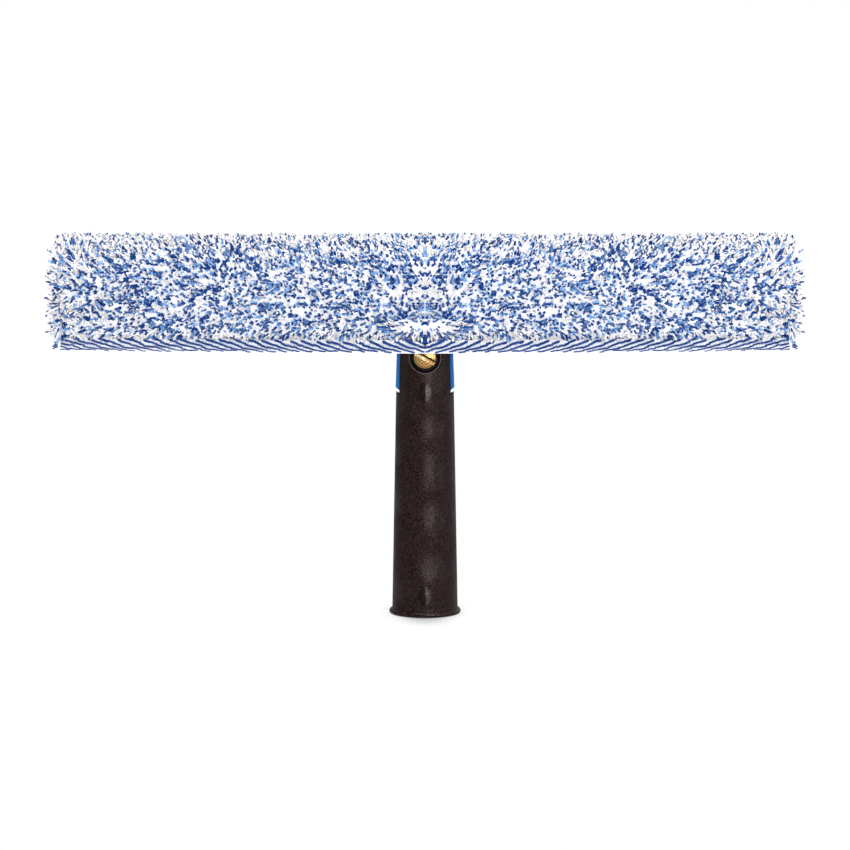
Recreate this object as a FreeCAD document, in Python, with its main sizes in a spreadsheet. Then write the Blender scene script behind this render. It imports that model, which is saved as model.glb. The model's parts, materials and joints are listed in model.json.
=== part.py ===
"""Swivel window scrubber: a tapered black grip with a forked head, a blue T-yoke that swings in the fork
about a brass clamp screw, an aluminium bar through the yoke, and a pile sleeve that wraps the bar.

Millimetres. X runs along the bar, -Y is the front with the screw head, +Z is up, and the origin is the
centre of the grip's foot.
"""

import FreeCAD
import Part
import Sketcher

import math
import os
import re

# Driving dimensions: name, value, meaning.
SIZES = [
    ("grip_bottom_radius", 15.3, "outside of the grip at its foot"),
    ("fork_radius", 13.1, "outside of the grip at the height of the pivot"),
    ("pivot_height", 120.3, "height of the swivel axis"),
    ("rim_radius", 16.7, "outside of the rolled rim at the foot"),
    ("rim_height", 2.6, "thickness of the rolled rim"),
    ("socket_radius", 11.5, "bore that takes the end of a pole"),
    ("socket_floor", 9.0, "plastic left between that bore and the gap of the fork"),
    ("mouth_chamfer", 0.8, "lead-in at the mouth of the bore"),
    ("slot_width", 12.4, "gap between the two fork cheeks"),
    ("cheek_radius", 11.6, "rounded top of the fork cheeks"),
    ("cheek_web", 2.4, "plastic left under the screw head and under the nut"),
    ("cheek_edge_round", 0.5, "soft outer edge of the fork cheeks"),
    ("recess_radius", 6.9, "round recess for the screw head and washer"),
    ("recess_round", 0.4, "soft edge at the mouth of that recess"),
    ("nib_half_length", 4.8, "half height of a gate nib on the front of the grip"),
    ("nib_half_width", 3.3, "half width of a gate nib"),
    ("nib_relief", 0.7, "how far a gate nib stands out"),
    ("upper_nib_gap", 3.8, "room between the screw's recess and the upper gate nib"),
    ("lower_nib_gap", 2.4, "room between the rolled rim and the lower gate nib"),
    ("shank_radius", 3.0, "clamp screw shank"),
    ("shank_clearance", 0.06, "running clearance around the shank"),
    ("head_radius", 5.2, "clamp screw head"),
    ("head_height", 3.0, "height of that head at its edge"),
    ("head_round", 0.9, "rounded edge of that head"),
    ("head_crown", 0.4, "how much higher the domed top of the head is at its middle"),
    ("drive_slot_width", 2.3, "coin slot in the head"),
    ("drive_slot_depth", 1.4, "depth of the coin slot at its ends"),
    ("drive_slot_angle", -29.0, "lie of the coin slot, degrees from level"),
    ("washer_radius", 6.2, "outside of the spring washer"),
    ("washer_thickness", 0.9, "thickness of the spring washer"),
    ("washer_play", 0.3, "room between the washer and the shank"),
    ("washer_split", 1.0, "split in the spring washer"),
    ("nut_flats", 10.0, "nut, across flats"),
    ("nut_thickness", 4.0, "thickness of the nut"),
    ("nut_clearance", 0.1, "room between each flat of the nut and its pocket"),
    ("swivel_gap", 0.15, "room between the tongue and each cheek"),
    ("tongue_radius", 19.5, "round end of the tongue, about the pivot"),
    ("tongue_half_width", 13.6, "half width of the tongue at the corners of its round end"),
    ("neck_half_width", 12.7, "half width of the tongue where it joins the collar"),
    ("floor_gap", 1.8, "room between the tongue's round end and the floor of the fork"),
    ("crown_gap", 0.9, "room between the tops of the cheeks and the collar"),
    ("gusset_radius", 2.2, "fillet where the tongue joins the collar"),
    ("collar_length", 62.0, "length of the collar along the bar"),
    ("collar_wall", 2.4, "wall of the collar"),
    ("bar_gap", 0.1, "fit between the collar and the bar"),
    ("bar_half_depth", 10.7, "half depth of the bar, front to back"),
    ("bar_half_height", 14.2, "half height of the bar"),
    ("bar_round", 5.5, "corner radius of the bar section"),
    ("bar_wall", 1.4, "wall of the bar"),
    ("bar_length", 328.0, "length of the bar"),
    ("drain_half_length", 7.0, "half length of a drain slot in the bar"),
    ("drain_half_height", 3.5, "half height of a drain slot"),
    ("drain_margin", 29.0, "length of bar beyond the middle of the last drain slot"),
    ("rivet_radius", 2.0, "shank of a rivet"),
    ("rivet_head_radius", 3.6, "head of a rivet"),
    ("rivet_head_height", 1.1, "height of a rivet head, flush with the collar"),
    ("rivet_fit", 0.06, "room around the rivet shank and heads"),
    ("plug_flange", 3.0, "end flange of a bar plug"),
    ("plug_depth", 12.0, "spigot of a bar plug inside the bar"),
    ("plug_fit", 0.1, "room between the spigot and the bar"),
    ("plug_round", 1.2, "rounded edge of the plug flange"),
    ("sleeve_gap", 0.4, "room between the sleeve and what it covers"),
    ("pile_thickness", 10.0, "backing and pile of the sleeve together"),
    ("lip_inset", 5.5, "how far each lower lip draws in from the sleeve's full depth"),
    ("lip_rise", 12.0, "height over which a lip draws in"),
    ("lip_height", 7.9, "height of the lower lips above the pivot"),
    ("cavity_round", 6.0, "corner radius at the top of the space for the bar"),
    ("end_gap", 0.3, "room between the plug flange and the sleeve end"),
    ("end_crown", 8.0, "how far a sleeve end bulges out"),
    ("end_round", 6.0, "rounded edge of a sleeve end"),
    ("hem_depth", 4.2, "thickness of the folded twill hem"),
    ("hem_height", 3.4, "height of the hem at its ends"),
    ("hem_sag", 1.6, "how much lower the hem hangs at the middle"),
    ("hem_margin", 1.0, "how far the hem stops short of the cover's end"),
    ("slit_half_length", 46.0, "half length of the gap that the fork swings in"),
    ("tape_margin", 6.0, "how far the closure tapes stop short of the cover's end"),
    ("tape_thickness", 1.2, "thickness of each closure tape"),
    ("tape_inset", 0.6, "height of the lower tape above the edge of the lips"),
    ("cut_overrun", 2.0, "how far a cut runs past the solid"),
]
DRAIN_COUNT = 11
WHOLE_TURN = 360
HALF_TURN = 180
QUARTER_TURN = 90
NAMES = {name for name, value, meaning in SIZES}

# Derived dimensions, written in the names above.
FORK_TOP = "(pivot_height + cheek_radius)"
FLOOR_RADIUS = "(tongue_radius + floor_gap)"
GRIP_TAPER = "((grip_bottom_radius - fork_radius) / pivot_height)"
SOCKET_DEPTH = f"(pivot_height - {FLOOR_RADIUS} - socket_floor)"
UPPER_NIB_HEIGHT = "(pivot_height - recess_radius - recess_round - upper_nib_gap - nib_half_length)"
LOWER_NIB_HEIGHT = "(rim_height + lower_nib_gap + nib_half_length)"
WEB_FACE = "(slot_width / 2 + cheek_web)"
COLLAR_HALF_DEPTH = "(bar_half_depth + bar_gap + collar_wall)"
COLLAR_HALF_HEIGHT = "(bar_half_height + bar_gap + collar_wall)"
COLLAR_BOTTOM = f"({FORK_TOP} + crown_gap)"
BAR_HEIGHT = f"({COLLAR_BOTTOM} + {COLLAR_HALF_HEIGHT})"
SLEEVE_INNER = f"(max({COLLAR_HALF_DEPTH}; fork_radius) + sleeve_gap)"
SLEEVE_HALF_DEPTH = f"({SLEEVE_INNER} + pile_thickness)"
CAVITY_TOP = f"({BAR_HEIGHT} + {COLLAR_HALF_HEIGHT} + sleeve_gap)"
SLEEVE_TOP = f"({CAVITY_TOP} + pile_thickness)"
LIP_BOTTOM = "(pivot_height + lip_height)"
COVER_HALF_LENGTH = "(bar_length / 2 + plug_flange + end_gap)"
DRAIN_SPAN = "(bar_length - 2 * drain_margin)"
DRAIN_PITCH = f"({DRAIN_SPAN} / {DRAIN_COUNT - 1})"

doc = FreeCAD.newDocument("window_scrubber")
sheet = doc.addObject("Spreadsheet::Sheet", "Sizes")
for row, (name, value, meaning) in enumerate(SIZES, 1):
    sheet.set(f"A{row}", name)
    sheet.set(f"B{row}", str(value))
    sheet.set(f"C{row}", meaning)
    sheet.setAlias(f"B{row}", name)
doc.recompute()


def bound(expression):
    """The expression with each size name pointing at its cell of the sheet."""
    return re.sub(r"[a-z_]+", lambda word: "Sizes." + word[0] if word[0] in NAMES else word[0], expression)


def size(expression):
    """The present value of an expression in the size names."""
    return float(sheet.evalExpression(expression))


def new_body(label):
    body = doc.addObject("PartDesign::Body", label)
    body.Label = label
    return body


def origin_feature(body, role):
    return next(feature for feature in body.Origin.OriginFeatures if feature.Role == role)


def new_sketch(body, plane, offset="0"):
    """An empty sketch on one of the body's origin planes, moved along the plane's normal by offset."""
    sketch = body.newObject("Sketcher::SketchObject", "Sketch")
    sketch.AttachmentSupport = [(origin_feature(body, plane), "")]
    sketch.MapMode = "FlatFace"
    sketch.setExpression("AttachmentOffset.Base.z", bound(offset))
    return sketch


def fix_point(sketch, geometry, place, x, y):
    """Ties a point of the sketch to its two coordinates."""
    for kind, expression in (("DistanceX", x), ("DistanceY", y)):
        index = sketch.addConstraint(Sketcher.Constraint(kind, -1, 1, geometry, place, size(expression)))
        sketch.setExpression(f"Constraints[{index}]", bound(expression))


def fix_radius(sketch, geometry, expression):
    index = sketch.addConstraint(Sketcher.Constraint("Radius", geometry, size(expression)))
    sketch.setExpression(f"Constraints[{index}]", bound(expression))


def arc_between(start, end, radius, bulges_right):
    """The arc of under half a circle from start to end, which bulges to the right or left of that way."""
    chord = end - start
    left = FreeCAD.Vector(-chord.y, chord.x, 0).normalize()
    rise = math.sqrt(max(radius**2 - (chord.Length / 2) ** 2, 0))
    centre = (start + end) / 2 + left * (rise if bulges_right else -rise)
    first, last = (start, end) if bulges_right else (end, start)
    angles = [math.atan2(point.y - centre.y, point.x - centre.x) for point in (first, last)]
    circle = Part.Circle(centre, FreeCAD.Vector(0, 0, 1), radius)
    return Part.ArcOfCircle(circle, *angles)


def outline(sketch, corners):
    """A closed outline, anticlockwise. Each corner is (x, y), or (x, y, radius, side) where the edge that
    leaves it is an arc that bulges "out" of the outline or "in" to it."""
    points = [FreeCAD.Vector(size(corner[0]), size(corner[1]), 0) for corner in corners]
    edges = []
    for number, corner in enumerate(corners):
        start, end = points[number], points[(number + 1) % len(points)]
        backwards = len(corner) > 2 and corner[3] == "in"
        if len(corner) > 2:
            geometry = sketch.addGeometry(arc_between(start, end, size(corner[2]), not backwards), False)
        else:
            geometry = sketch.addGeometry(Part.LineSegment(start, end), False)
        edges.append((geometry, 2 if backwards else 1, 1 if backwards else 2))
    for number, corner in enumerate(corners):
        geometry, start_place, end_place = edges[number]
        following = edges[(number + 1) % len(edges)]
        sketch.addConstraint(Sketcher.Constraint("Coincident", geometry, end_place, *following[:2]))
        fix_point(sketch, geometry, start_place, corner[0], corner[1])
        if len(corner) > 2:
            fix_radius(sketch, geometry, corner[2])
    return sketch


def circle(sketch, x, y, radius):
    centre = FreeCAD.Vector(size(x), size(y), 0)
    geometry = sketch.addGeometry(Part.Circle(centre, FreeCAD.Vector(0, 0, 1), size(radius)), False)
    fix_point(sketch, geometry, 3, x, y)
    fix_radius(sketch, geometry, radius)
    return sketch


def extrude(body, kind, sketch, length, symmetric=False, flip=False):
    """A Pad or Pocket of the sketch. A Pad grows along the sketch's normal and a Pocket cuts against it."""
    before = body.Shape.Volume if body.Tip else 0.0
    feature = body.newObject(f"PartDesign::{kind}", kind)
    feature.Profile = sketch
    feature.SideType = "Symmetric" if symmetric else "One side"
    feature.Reversed = flip
    feature.setExpression("Length", bound(length))
    return finish_feature(body, feature, before)


def revolve(body, kind, sketch):
    """A Revolution or Groove of the sketch, a whole turn about its vertical axis."""
    before = body.Shape.Volume if body.Tip else 0.0
    feature = body.newObject(f"PartDesign::{kind}", kind)
    feature.Profile = sketch
    feature.ReferenceAxis = (sketch, ["V_Axis"])
    feature.Angle = WHOLE_TURN
    return finish_feature(body, feature, before)


def finish_feature(body, feature, before):
    doc.recompute()
    if body.Shape.Volume == before:
        raise RuntimeError(f"{feature.Name} of {body.Label} changed nothing")
    if not body.Shape.isValid():
        raise RuntimeError(f"{feature.Name} of {body.Label} is not a valid solid")
    return feature


def soften(body, radius, limit, chooses):
    """A fillet on every edge of the body's last feature that chooses accepts, no larger than limit."""
    base = body.Tip
    names = [f"Edge{n}" for n, edge in enumerate(base.Shape.Edges, 1) if chooses(edge)]
    feature = body.newObject("PartDesign::Fillet", "Fillet")
    feature.Base = (base, names)
    feature.setExpression("Radius", bound(f"min({radius}; {limit})"))
    doc.recompute()
    return feature


def face_forward(body):
    """Turns a body that was drawn along its own Z axis to lie on the swivel axis, its top to the front."""
    body.Placement = FreeCAD.Placement(FreeCAD.Vector(), FreeCAD.Rotation(FreeCAD.Vector(1, 0, 0), QUARTER_TURN))
    body.setExpression("Placement.Base.z", bound("pivot_height"))


def face_left(body):
    """Turns a body that was drawn at the right end of the bar round to the left end."""
    body.Placement = FreeCAD.Placement(FreeCAD.Vector(), FreeCAD.Rotation(FreeCAD.Vector(0, 0, 1), HALF_TURN))


def hexagon(flats):
    """Corners of a hexagon with two level flats."""
    corner = f"({flats} / sqrt(3))"
    half = f"({flats} / 2)"
    return [
        (corner, "0"),
        (f"{corner} / 2", half),
        (f"-{corner} / 2", half),
        (f"-{corner}", "0"),
        (f"-{corner} / 2", f"-{half}"),
        (f"{corner} / 2", f"-{half}"),
    ]


def rounded_box(half_width, half_height, radius, height):
    """Corners of an upright rounded rectangle about the point (0, height)."""
    flat = f"({half_width} - {radius})"
    low, high = f"{height} - {half_height}", f"{height} + {half_height}"
    return [
        (f"-{flat}", low),
        (flat, low, radius, "out"),
        (half_width, f"{low} + {radius}"),
        (half_width, f"{high} - {radius}", radius, "out"),
        (flat, high),
        (f"-{flat}", high, radius, "out"),
        (f"-{half_width}", f"{high} - {radius}"),
        (f"-{half_width}", f"{low} + {radius}", radius, "out"),
    ]


def bar_section(grow):
    """The bar's rounded section, grown on every side by the given amount."""
    return rounded_box(f"(bar_half_depth + {grow})", f"(bar_half_height + {grow})", f"(bar_round + {grow})", BAR_HEIGHT)


def make_grip(body):
    """The tapered tube with its blind socket, and the rolled rim round its foot."""
    blank_top = f"({FORK_TOP} + cut_overrun)"
    profile = new_sketch(body, "XZ_Plane")
    outline(
        profile,
        [
            ("socket_radius + mouth_chamfer", "0"),
            ("grip_bottom_radius", "0"),
            (f"grip_bottom_radius - {GRIP_TAPER} * {blank_top}", blank_top),
            ("0", blank_top),
            ("0", SOCKET_DEPTH),
            ("socket_radius", SOCKET_DEPTH),
            ("socket_radius", "mouth_chamfer"),
        ],
    )
    revolve(body, "Revolution", profile)
    wall_middle = "(socket_radius + mouth_chamfer + grip_bottom_radius) / 2"
    rim_flat = "rim_radius - rim_height / 2"
    rim = new_sketch(body, "XZ_Plane")
    outline(
        rim,
        [
            (wall_middle, "0"),
            (rim_flat, "0", "rim_height / 2", "out"),
            ("rim_radius", "rim_height / 2", "rim_height / 2", "out"),
            (rim_flat, "rim_height"),
            (wall_middle, "rim_height"),
        ],
    )
    revolve(body, "Revolution", rim)


def cut_fork(body):
    """The gap for the tongue, with a floor that is concentric with the pivot, and the rounded cheek tops."""
    above = f"{FORK_TOP} + 2 * cut_overrun"
    beside = "(grip_bottom_radius + cut_overrun)"
    gap = new_sketch(body, "XZ_Plane")
    outline(
        gap,
        [
            ("0", f"pivot_height - {FLOOR_RADIUS}", FLOOR_RADIUS, "out"),
            (FLOOR_RADIUS, "pivot_height"),
            (FLOOR_RADIUS, above),
            (f"-{FLOOR_RADIUS}", above),
            (f"-{FLOOR_RADIUS}", "pivot_height", FLOOR_RADIUS, "out"),
        ],
    )
    extrude(body, "Pocket", gap, "slot_width", symmetric=True)
    crowns = new_sketch(body, "XZ_Plane")
    outline(
        crowns,
        [
            ("cheek_radius", "pivot_height"),
            (beside, "pivot_height"),
            (beside, above),
            (f"-{beside}", above),
            (f"-{beside}", "pivot_height"),
            ("-cheek_radius", "pivot_height", "cheek_radius", "in"),
            ("0", FORK_TOP, "cheek_radius", "in"),
        ],
    )
    extrude(body, "Pocket", crowns, f"2 * {beside}", symmetric=True)
    soften(body, "cheek_edge_round", "cheek_web", is_cheek_top_edge)


def is_cheek_top_edge(edge):
    """True for the outer rounded edge over each cheek, away from the gap between them."""
    middle = edge.CenterOfMass
    spans_top = edge.BoundBox.ZMax > size(FORK_TOP) - size("cheek_edge_round")
    return spans_top and abs(middle.y) > size("slot_width / 2 + cheek_web")


def cut_pivot_seats(body):
    """The shank hole, the recess for the screw head in front and the hexagon pocket for the nut behind."""
    shank = circle(new_sketch(body, "XZ_Plane"), "0", "pivot_height", "shank_radius + shank_clearance")
    extrude(body, "Pocket", shank, "2 * grip_bottom_radius", symmetric=True)
    recess = circle(new_sketch(body, "XZ_Plane", WEB_FACE), "0", "pivot_height", "recess_radius")
    extrude(body, "Pocket", recess, "grip_bottom_radius", flip=True)
    soften(body, "recess_round", "cheek_web", is_recess_mouth_edge)
    pocket = new_sketch(body, "XZ_Plane", f"-{WEB_FACE}")
    corners = hexagon("(nut_flats + 2 * nut_clearance)")
    outline(pocket, [(x, f"pivot_height + {y}") for x, y in corners])
    extrude(body, "Pocket", pocket, "grip_bottom_radius")


def is_recess_mouth_edge(edge):
    """True for the saddle-shaped edge where the screw's recess opens on the front of the grip."""
    box, reach = edge.BoundBox, size("recess_radius + recess_round")
    within = -box.XMin < reach and box.XMax < reach
    return within and box.YMax < -size(f"{WEB_FACE} + recess_round") and box.ZMin > size(f"pivot_height - {reach}")


def add_gate_nib(body, height):
    """A shallow oval nib on the front of the grip, where the plastic was fed into the mould."""
    nib = body.newObject("PartDesign::AdditiveEllipsoid", "Nib")
    nib.setExpression("Radius1", bound("nib_half_length"))
    nib.setExpression("Radius2", bound("nib_half_width"))
    nib.setExpression("Radius3", bound("2 * nib_relief"))
    surface = f"(grip_bottom_radius - {GRIP_TAPER} * {height})"
    nib.setExpression("Placement.Base.y", bound(f"nib_relief - {surface}"))
    nib.setExpression("Placement.Base.z", bound(height))
    doc.recompute()


def make_handle():
    body = new_body("handle_shell")
    make_grip(body)
    cut_fork(body)
    cut_pivot_seats(body)
    for height in (UPPER_NIB_HEIGHT, LOWER_NIB_HEIGHT):
        add_gate_nib(body, height)


def make_screw():
    """The brass clamp screw, with a coin slot across its domed head."""
    body = new_body("pivot_screw")
    seat = f"({WEB_FACE} + washer_thickness)"
    top = f"({seat} + head_height)"
    tail = f"-({WEB_FACE} + nut_thickness)"
    face_radius = "(head_radius - head_round)"
    dome = f"({face_radius}^2 + head_crown^2) / (2 * head_crown)"
    profile = new_sketch(body, "XZ_Plane")
    outline(
        profile,
        [
            ("0", tail),
            ("shank_radius", tail),
            ("shank_radius", seat),
            ("head_radius", seat),
            ("head_radius", f"{top} - head_round", "head_round", "out"),
            (face_radius, top, dome, "out"),
            ("0", f"{top} + head_crown"),
        ],
    )
    revolve(body, "Revolution", profile)
    slot = new_sketch(body, "XY_Plane", f"{top} + head_crown")
    reach, half = "(head_radius + cut_overrun)", "drive_slot_width / 2"
    outline(slot, [(f"-{reach}", f"-{half}"), (reach, f"-{half}"), (reach, half), (f"-{reach}", half)])
    slot.setExpression("AttachmentOffset.Rotation.Angle", bound("drive_slot_angle"))
    extrude(body, "Pocket", slot, "head_crown + drive_slot_depth")
    face_forward(body)


def make_washer():
    """The split spring washer under the screw head."""
    body = new_body("pivot_washer")
    ring = new_sketch(body, "XY_Plane", WEB_FACE)
    circle(ring, "0", "0", "washer_radius")
    circle(ring, "0", "0", "shank_radius + washer_play")
    extrude(body, "Pad", ring, "washer_thickness")
    split = new_sketch(body, "XY_Plane", f"{WEB_FACE} + washer_thickness")
    reach, half = "(washer_radius + cut_overrun)", "washer_split / 2"
    outline(split, [("0", f"-{half}"), (reach, f"-{half}"), (reach, half), ("0", half)])
    extrude(body, "Pocket", split, "washer_thickness")
    face_forward(body)


def make_nut():
    """The hexagon nut that the rear cheek holds, its outer corners taken off at 30 degrees."""
    body = new_body("pivot_nut")
    outer = f"-({WEB_FACE} + nut_thickness)"
    blank = outline(new_sketch(body, "XY_Plane", outer), hexagon("nut_flats"))
    extrude(body, "Pad", blank, "nut_thickness")
    bore = circle(new_sketch(body, "XY_Plane", outer), "0", "0", "shank_radius + shank_clearance")
    extrude(body, "Pocket", bore, "nut_thickness", flip=True)
    corners = new_sketch(body, "XZ_Plane")
    reach = "(nut_flats / 2 + cut_overrun)"
    outline(
        corners,
        [("nut_flats / 2", outer), (reach, outer), (reach, f"{outer} + cut_overrun / sqrt(3)")],
    )
    revolve(body, "Groove", corners)
    face_forward(body)


def rivet_places():
    """Where the rivets go along the bar, midway between drain slots."""
    return (f"-{DRAIN_PITCH} / 2", f"{DRAIN_PITCH} / 2")


def make_yoke():
    """The blue T-yoke: a tongue with a round end for the fork, under a collar that the bar goes through."""
    body = new_body("swivel_yoke")
    corner_height = "pivot_height - sqrt(tongue_radius^2 - tongue_half_width^2)"
    foot, root = "(neck_half_width + gusset_radius)", f"{COLLAR_BOTTOM} + collar_wall / 2"
    tongue = new_sketch(body, "XZ_Plane")
    outline(
        tongue,
        [
            ("-tongue_half_width", corner_height, "tongue_radius", "out"),
            ("tongue_half_width", corner_height),
            ("neck_half_width", f"{COLLAR_BOTTOM} - gusset_radius", "gusset_radius", "in"),
            (foot, COLLAR_BOTTOM),
            (foot, root),
            (f"-{foot}", root),
            (f"-{foot}", COLLAR_BOTTOM, "gusset_radius", "in"),
            ("-neck_half_width", f"{COLLAR_BOTTOM} - gusset_radius"),
        ],
    )
    extrude(body, "Pad", tongue, "slot_width - 2 * swivel_gap", symmetric=True)
    collar = outline(new_sketch(body, "YZ_Plane"), bar_section("(bar_gap + collar_wall)"))
    extrude(body, "Pad", collar, "collar_length", symmetric=True)
    channel = outline(new_sketch(body, "YZ_Plane"), bar_section("bar_gap"))
    extrude(body, "Pocket", channel, "collar_length", symmetric=True)
    bore = circle(new_sketch(body, "XZ_Plane"), "0", "pivot_height", "shank_radius + shank_clearance")
    extrude(body, "Pocket", bore, "slot_width", symmetric=True)
    for x in rivet_places():
        hole = circle(new_sketch(body, "XZ_Plane"), x, BAR_HEIGHT, "rivet_radius + rivet_fit")
        extrude(body, "Pocket", hole, f"2 * {COLLAR_HALF_DEPTH}", symmetric=True)
        for side, flip in (("", True), ("-", False)):
            seat_face = f"{side}({COLLAR_HALF_DEPTH} - rivet_head_height)"
            seat = circle(new_sketch(body, "XZ_Plane", seat_face), x, BAR_HEIGHT, "rivet_head_radius + rivet_fit")
            extrude(body, "Pocket", seat, "collar_wall", flip=flip)


def make_rivets():
    """The two flush rivets that hold the bar in the collar."""
    body = new_body("yoke_rivets")
    end = COLLAR_HALF_DEPTH
    seat = f"({end} - rivet_head_height)"
    profile = new_sketch(body, "XY_Plane")
    outline(
        profile,
        [
            ("0", f"-{end}"),
            ("rivet_head_radius", f"-{end}"),
            ("rivet_head_radius", f"-{seat}"),
            ("rivet_radius", f"-{seat}"),
            ("rivet_radius", seat),
            ("rivet_head_radius", seat),
            ("rivet_head_radius", end),
            ("0", end),
        ],
    )
    rivet = revolve(body, "Revolution", profile)
    pair = body.newObject("PartDesign::LinearPattern", "Pair")
    pair.Originals = [rivet]
    pair.Direction = (origin_feature(body, "X_Axis"), [""])
    pair.Occurrences = len(rivet_places())
    pair.setExpression("Length", bound(DRAIN_PITCH))
    body.Tip = pair
    body.setExpression("Placement.Base.x", bound(rivet_places()[0]))
    body.setExpression("Placement.Base.z", bound(BAR_HEIGHT))
    doc.recompute()


def make_bar():
    """The aluminium bar: a rounded tube with a row of drain slots that let water through to the sleeve."""
    body = new_body("bar_tube")
    skin = outline(new_sketch(body, "YZ_Plane"), bar_section("0"))
    extrude(body, "Pad", skin, "bar_length", symmetric=True)
    hollow = outline(new_sketch(body, "YZ_Plane"), bar_section("(-bar_wall)"))
    extrude(body, "Pocket", hollow, "bar_length", symmetric=True)
    for x in rivet_places():
        hole = circle(new_sketch(body, "XZ_Plane"), x, BAR_HEIGHT, "rivet_radius + rivet_fit")
        extrude(body, "Pocket", hole, "2 * bar_half_depth", symmetric=True)
    slot = new_sketch(body, "XZ_Plane")
    first, flat = f"-{DRAIN_SPAN} / 2", "(drain_half_length - drain_half_height)"
    low, high = f"{BAR_HEIGHT} - drain_half_height", f"{BAR_HEIGHT} + drain_half_height"
    outline(
        slot,
        [
            (f"{first} - {flat}", low),
            (f"{first} + {flat}", low, "drain_half_height", "out"),
            (f"{first} + drain_half_length", BAR_HEIGHT, "drain_half_height", "out"),
            (f"{first} + {flat}", high),
            (f"{first} - {flat}", high, "drain_half_height", "out"),
            (f"{first} - drain_half_length", BAR_HEIGHT, "drain_half_height", "out"),
        ],
    )
    drain = extrude(body, "Pocket", slot, "2 * bar_half_depth", symmetric=True)
    row = body.newObject("PartDesign::LinearPattern", "Drains")
    row.Originals = [drain]
    row.Direction = (origin_feature(body, "X_Axis"), [""])
    row.Occurrences = DRAIN_COUNT
    row.setExpression("Length", bound(DRAIN_SPAN))
    body.Tip = row
    doc.recompute()


def make_plug(label):
    """A plug that closes one end of the bar, with a rounded flange that keeps the sleeve off the cut edge."""
    body = new_body(label)
    end = "bar_length / 2"
    flange = outline(new_sketch(body, "YZ_Plane", end), bar_section("(bar_gap + collar_wall)"))
    extrude(body, "Pad", flange, "plug_flange")
    outer_face = size(f"{end} + plug_flange")
    margin = size("bar_gap")
    soften(body, "plug_round", "plug_flange", lambda edge: edge.BoundBox.XMin > outer_face - margin)
    spigot = outline(new_sketch(body, "YZ_Plane", end), bar_section("(-bar_wall - plug_fit)"))
    extrude(body, "Pad", spigot, "plug_depth", flip=True)
    return body


def sleeve_back(start):
    """The outer line of the sleeve's section from its rear lip over the top to its front lip."""
    rise = f"{LIP_BOTTOM} + lip_rise"
    lip = f"({SLEEVE_HALF_DEPTH} - lip_inset)"
    lip_curve = "(lip_inset^2 + lip_rise^2) / (2 * lip_inset)"
    shoulder = f"{SLEEVE_TOP} - {SLEEVE_HALF_DEPTH}"
    return start + [
        (lip, LIP_BOTTOM, lip_curve, "out"),
        (SLEEVE_HALF_DEPTH, rise),
        (SLEEVE_HALF_DEPTH, shoulder, SLEEVE_HALF_DEPTH, "out"),
        ("0", SLEEVE_TOP, SLEEVE_HALF_DEPTH, "out"),
        (f"-{SLEEVE_HALF_DEPTH}", shoulder),
        (f"-{SLEEVE_HALF_DEPTH}", rise, lip_curve, "out"),
        (f"-{lip}", LIP_BOTTOM),
    ]


def make_cover():
    """The pile fabric of the sleeve, from its front lip over the bar to its rear lip."""
    body = new_body("sleeve_cover")
    ceiling = f"({SLEEVE_INNER} - cavity_round)"
    cavity_shoulder = f"{CAVITY_TOP} - cavity_round"
    section = sleeve_back([(SLEEVE_INNER, LIP_BOTTOM)]) + [
        (f"-{SLEEVE_INNER}", LIP_BOTTOM),
        (f"-{SLEEVE_INNER}", cavity_shoulder, "cavity_round", "in"),
        (f"-{ceiling}", CAVITY_TOP),
        (ceiling, CAVITY_TOP, "cavity_round", "in"),
        (SLEEVE_INNER, cavity_shoulder),
    ]
    cloth = outline(new_sketch(body, "YZ_Plane"), section)
    extrude(body, "Pad", cloth, f"2 * {COVER_HALF_LENGTH}", symmetric=True)


def make_sleeve_end(label):
    """The crowned panel of pile fabric that closes one end of the sleeve."""
    body = new_body(label)
    panel = outline(new_sketch(body, "YZ_Plane", COVER_HALF_LENGTH), sleeve_back([]))
    extrude(body, "Pad", panel, "end_crown")
    outer_face = size(f"{COVER_HALF_LENGTH} + end_crown")
    margin = size("end_gap")
    soften(body, "end_round", "end_crown", lambda edge: edge.BoundBox.XMin > outer_face - margin)
    return body


def make_hem(label, side):
    """The folded twill hem under one lip of the sleeve. It hangs lowest at the middle."""
    body = new_body(label)
    reach = f"({COVER_HALF_LENGTH} - hem_margin)"
    low = f"{LIP_BOTTOM} - hem_height"
    curve = f"({reach}^2 + hem_sag^2) / (2 * hem_sag)"
    band = new_sketch(body, "XZ_Plane", f"{side}{SLEEVE_INNER}")
    outline(
        band,
        [(f"-{reach}", low, curve, "out"), (reach, low), (reach, LIP_BOTTOM), (f"-{reach}", LIP_BOTTOM)],
    )
    extrude(body, "Pad", band, "hem_depth", flip=side == "-")


def make_tape(label, layer):
    """One strip of the hook-and-loop closure, across the opening between the two lips."""
    body = new_body(label)
    start, end = "slit_half_length", f"{COVER_HALF_LENGTH} - tape_margin"
    height = f"{LIP_BOTTOM} + tape_inset + {layer} * tape_thickness"
    strip = new_sketch(body, "XY_Plane", height)
    outline(
        strip,
        [(start, f"-{SLEEVE_INNER}"), (end, f"-{SLEEVE_INNER}"), (end, SLEEVE_INNER), (start, SLEEVE_INNER)],
    )
    extrude(body, "Pad", strip, "tape_thickness")
    return body


def build():
    make_handle()
    make_screw()
    make_washer()
    make_nut()
    make_yoke()
    make_rivets()
    make_bar()
    make_cover()
    make_hem("front_hem_band", "")
    make_hem("rear_hem_band", "-")
    for side in ("right", "left"):
        pieces = [
            make_plug(f"end_plug_{side}"),
            make_sleeve_end(f"sleeve_end_{side}"),
            make_tape(f"hook_tape_{side}", 0),
            make_tape(f"loop_tape_{side}", 1),
        ]
        if side == "left":
            for piece in pieces:
                face_left(piece)
    doc.recompute()


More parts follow.
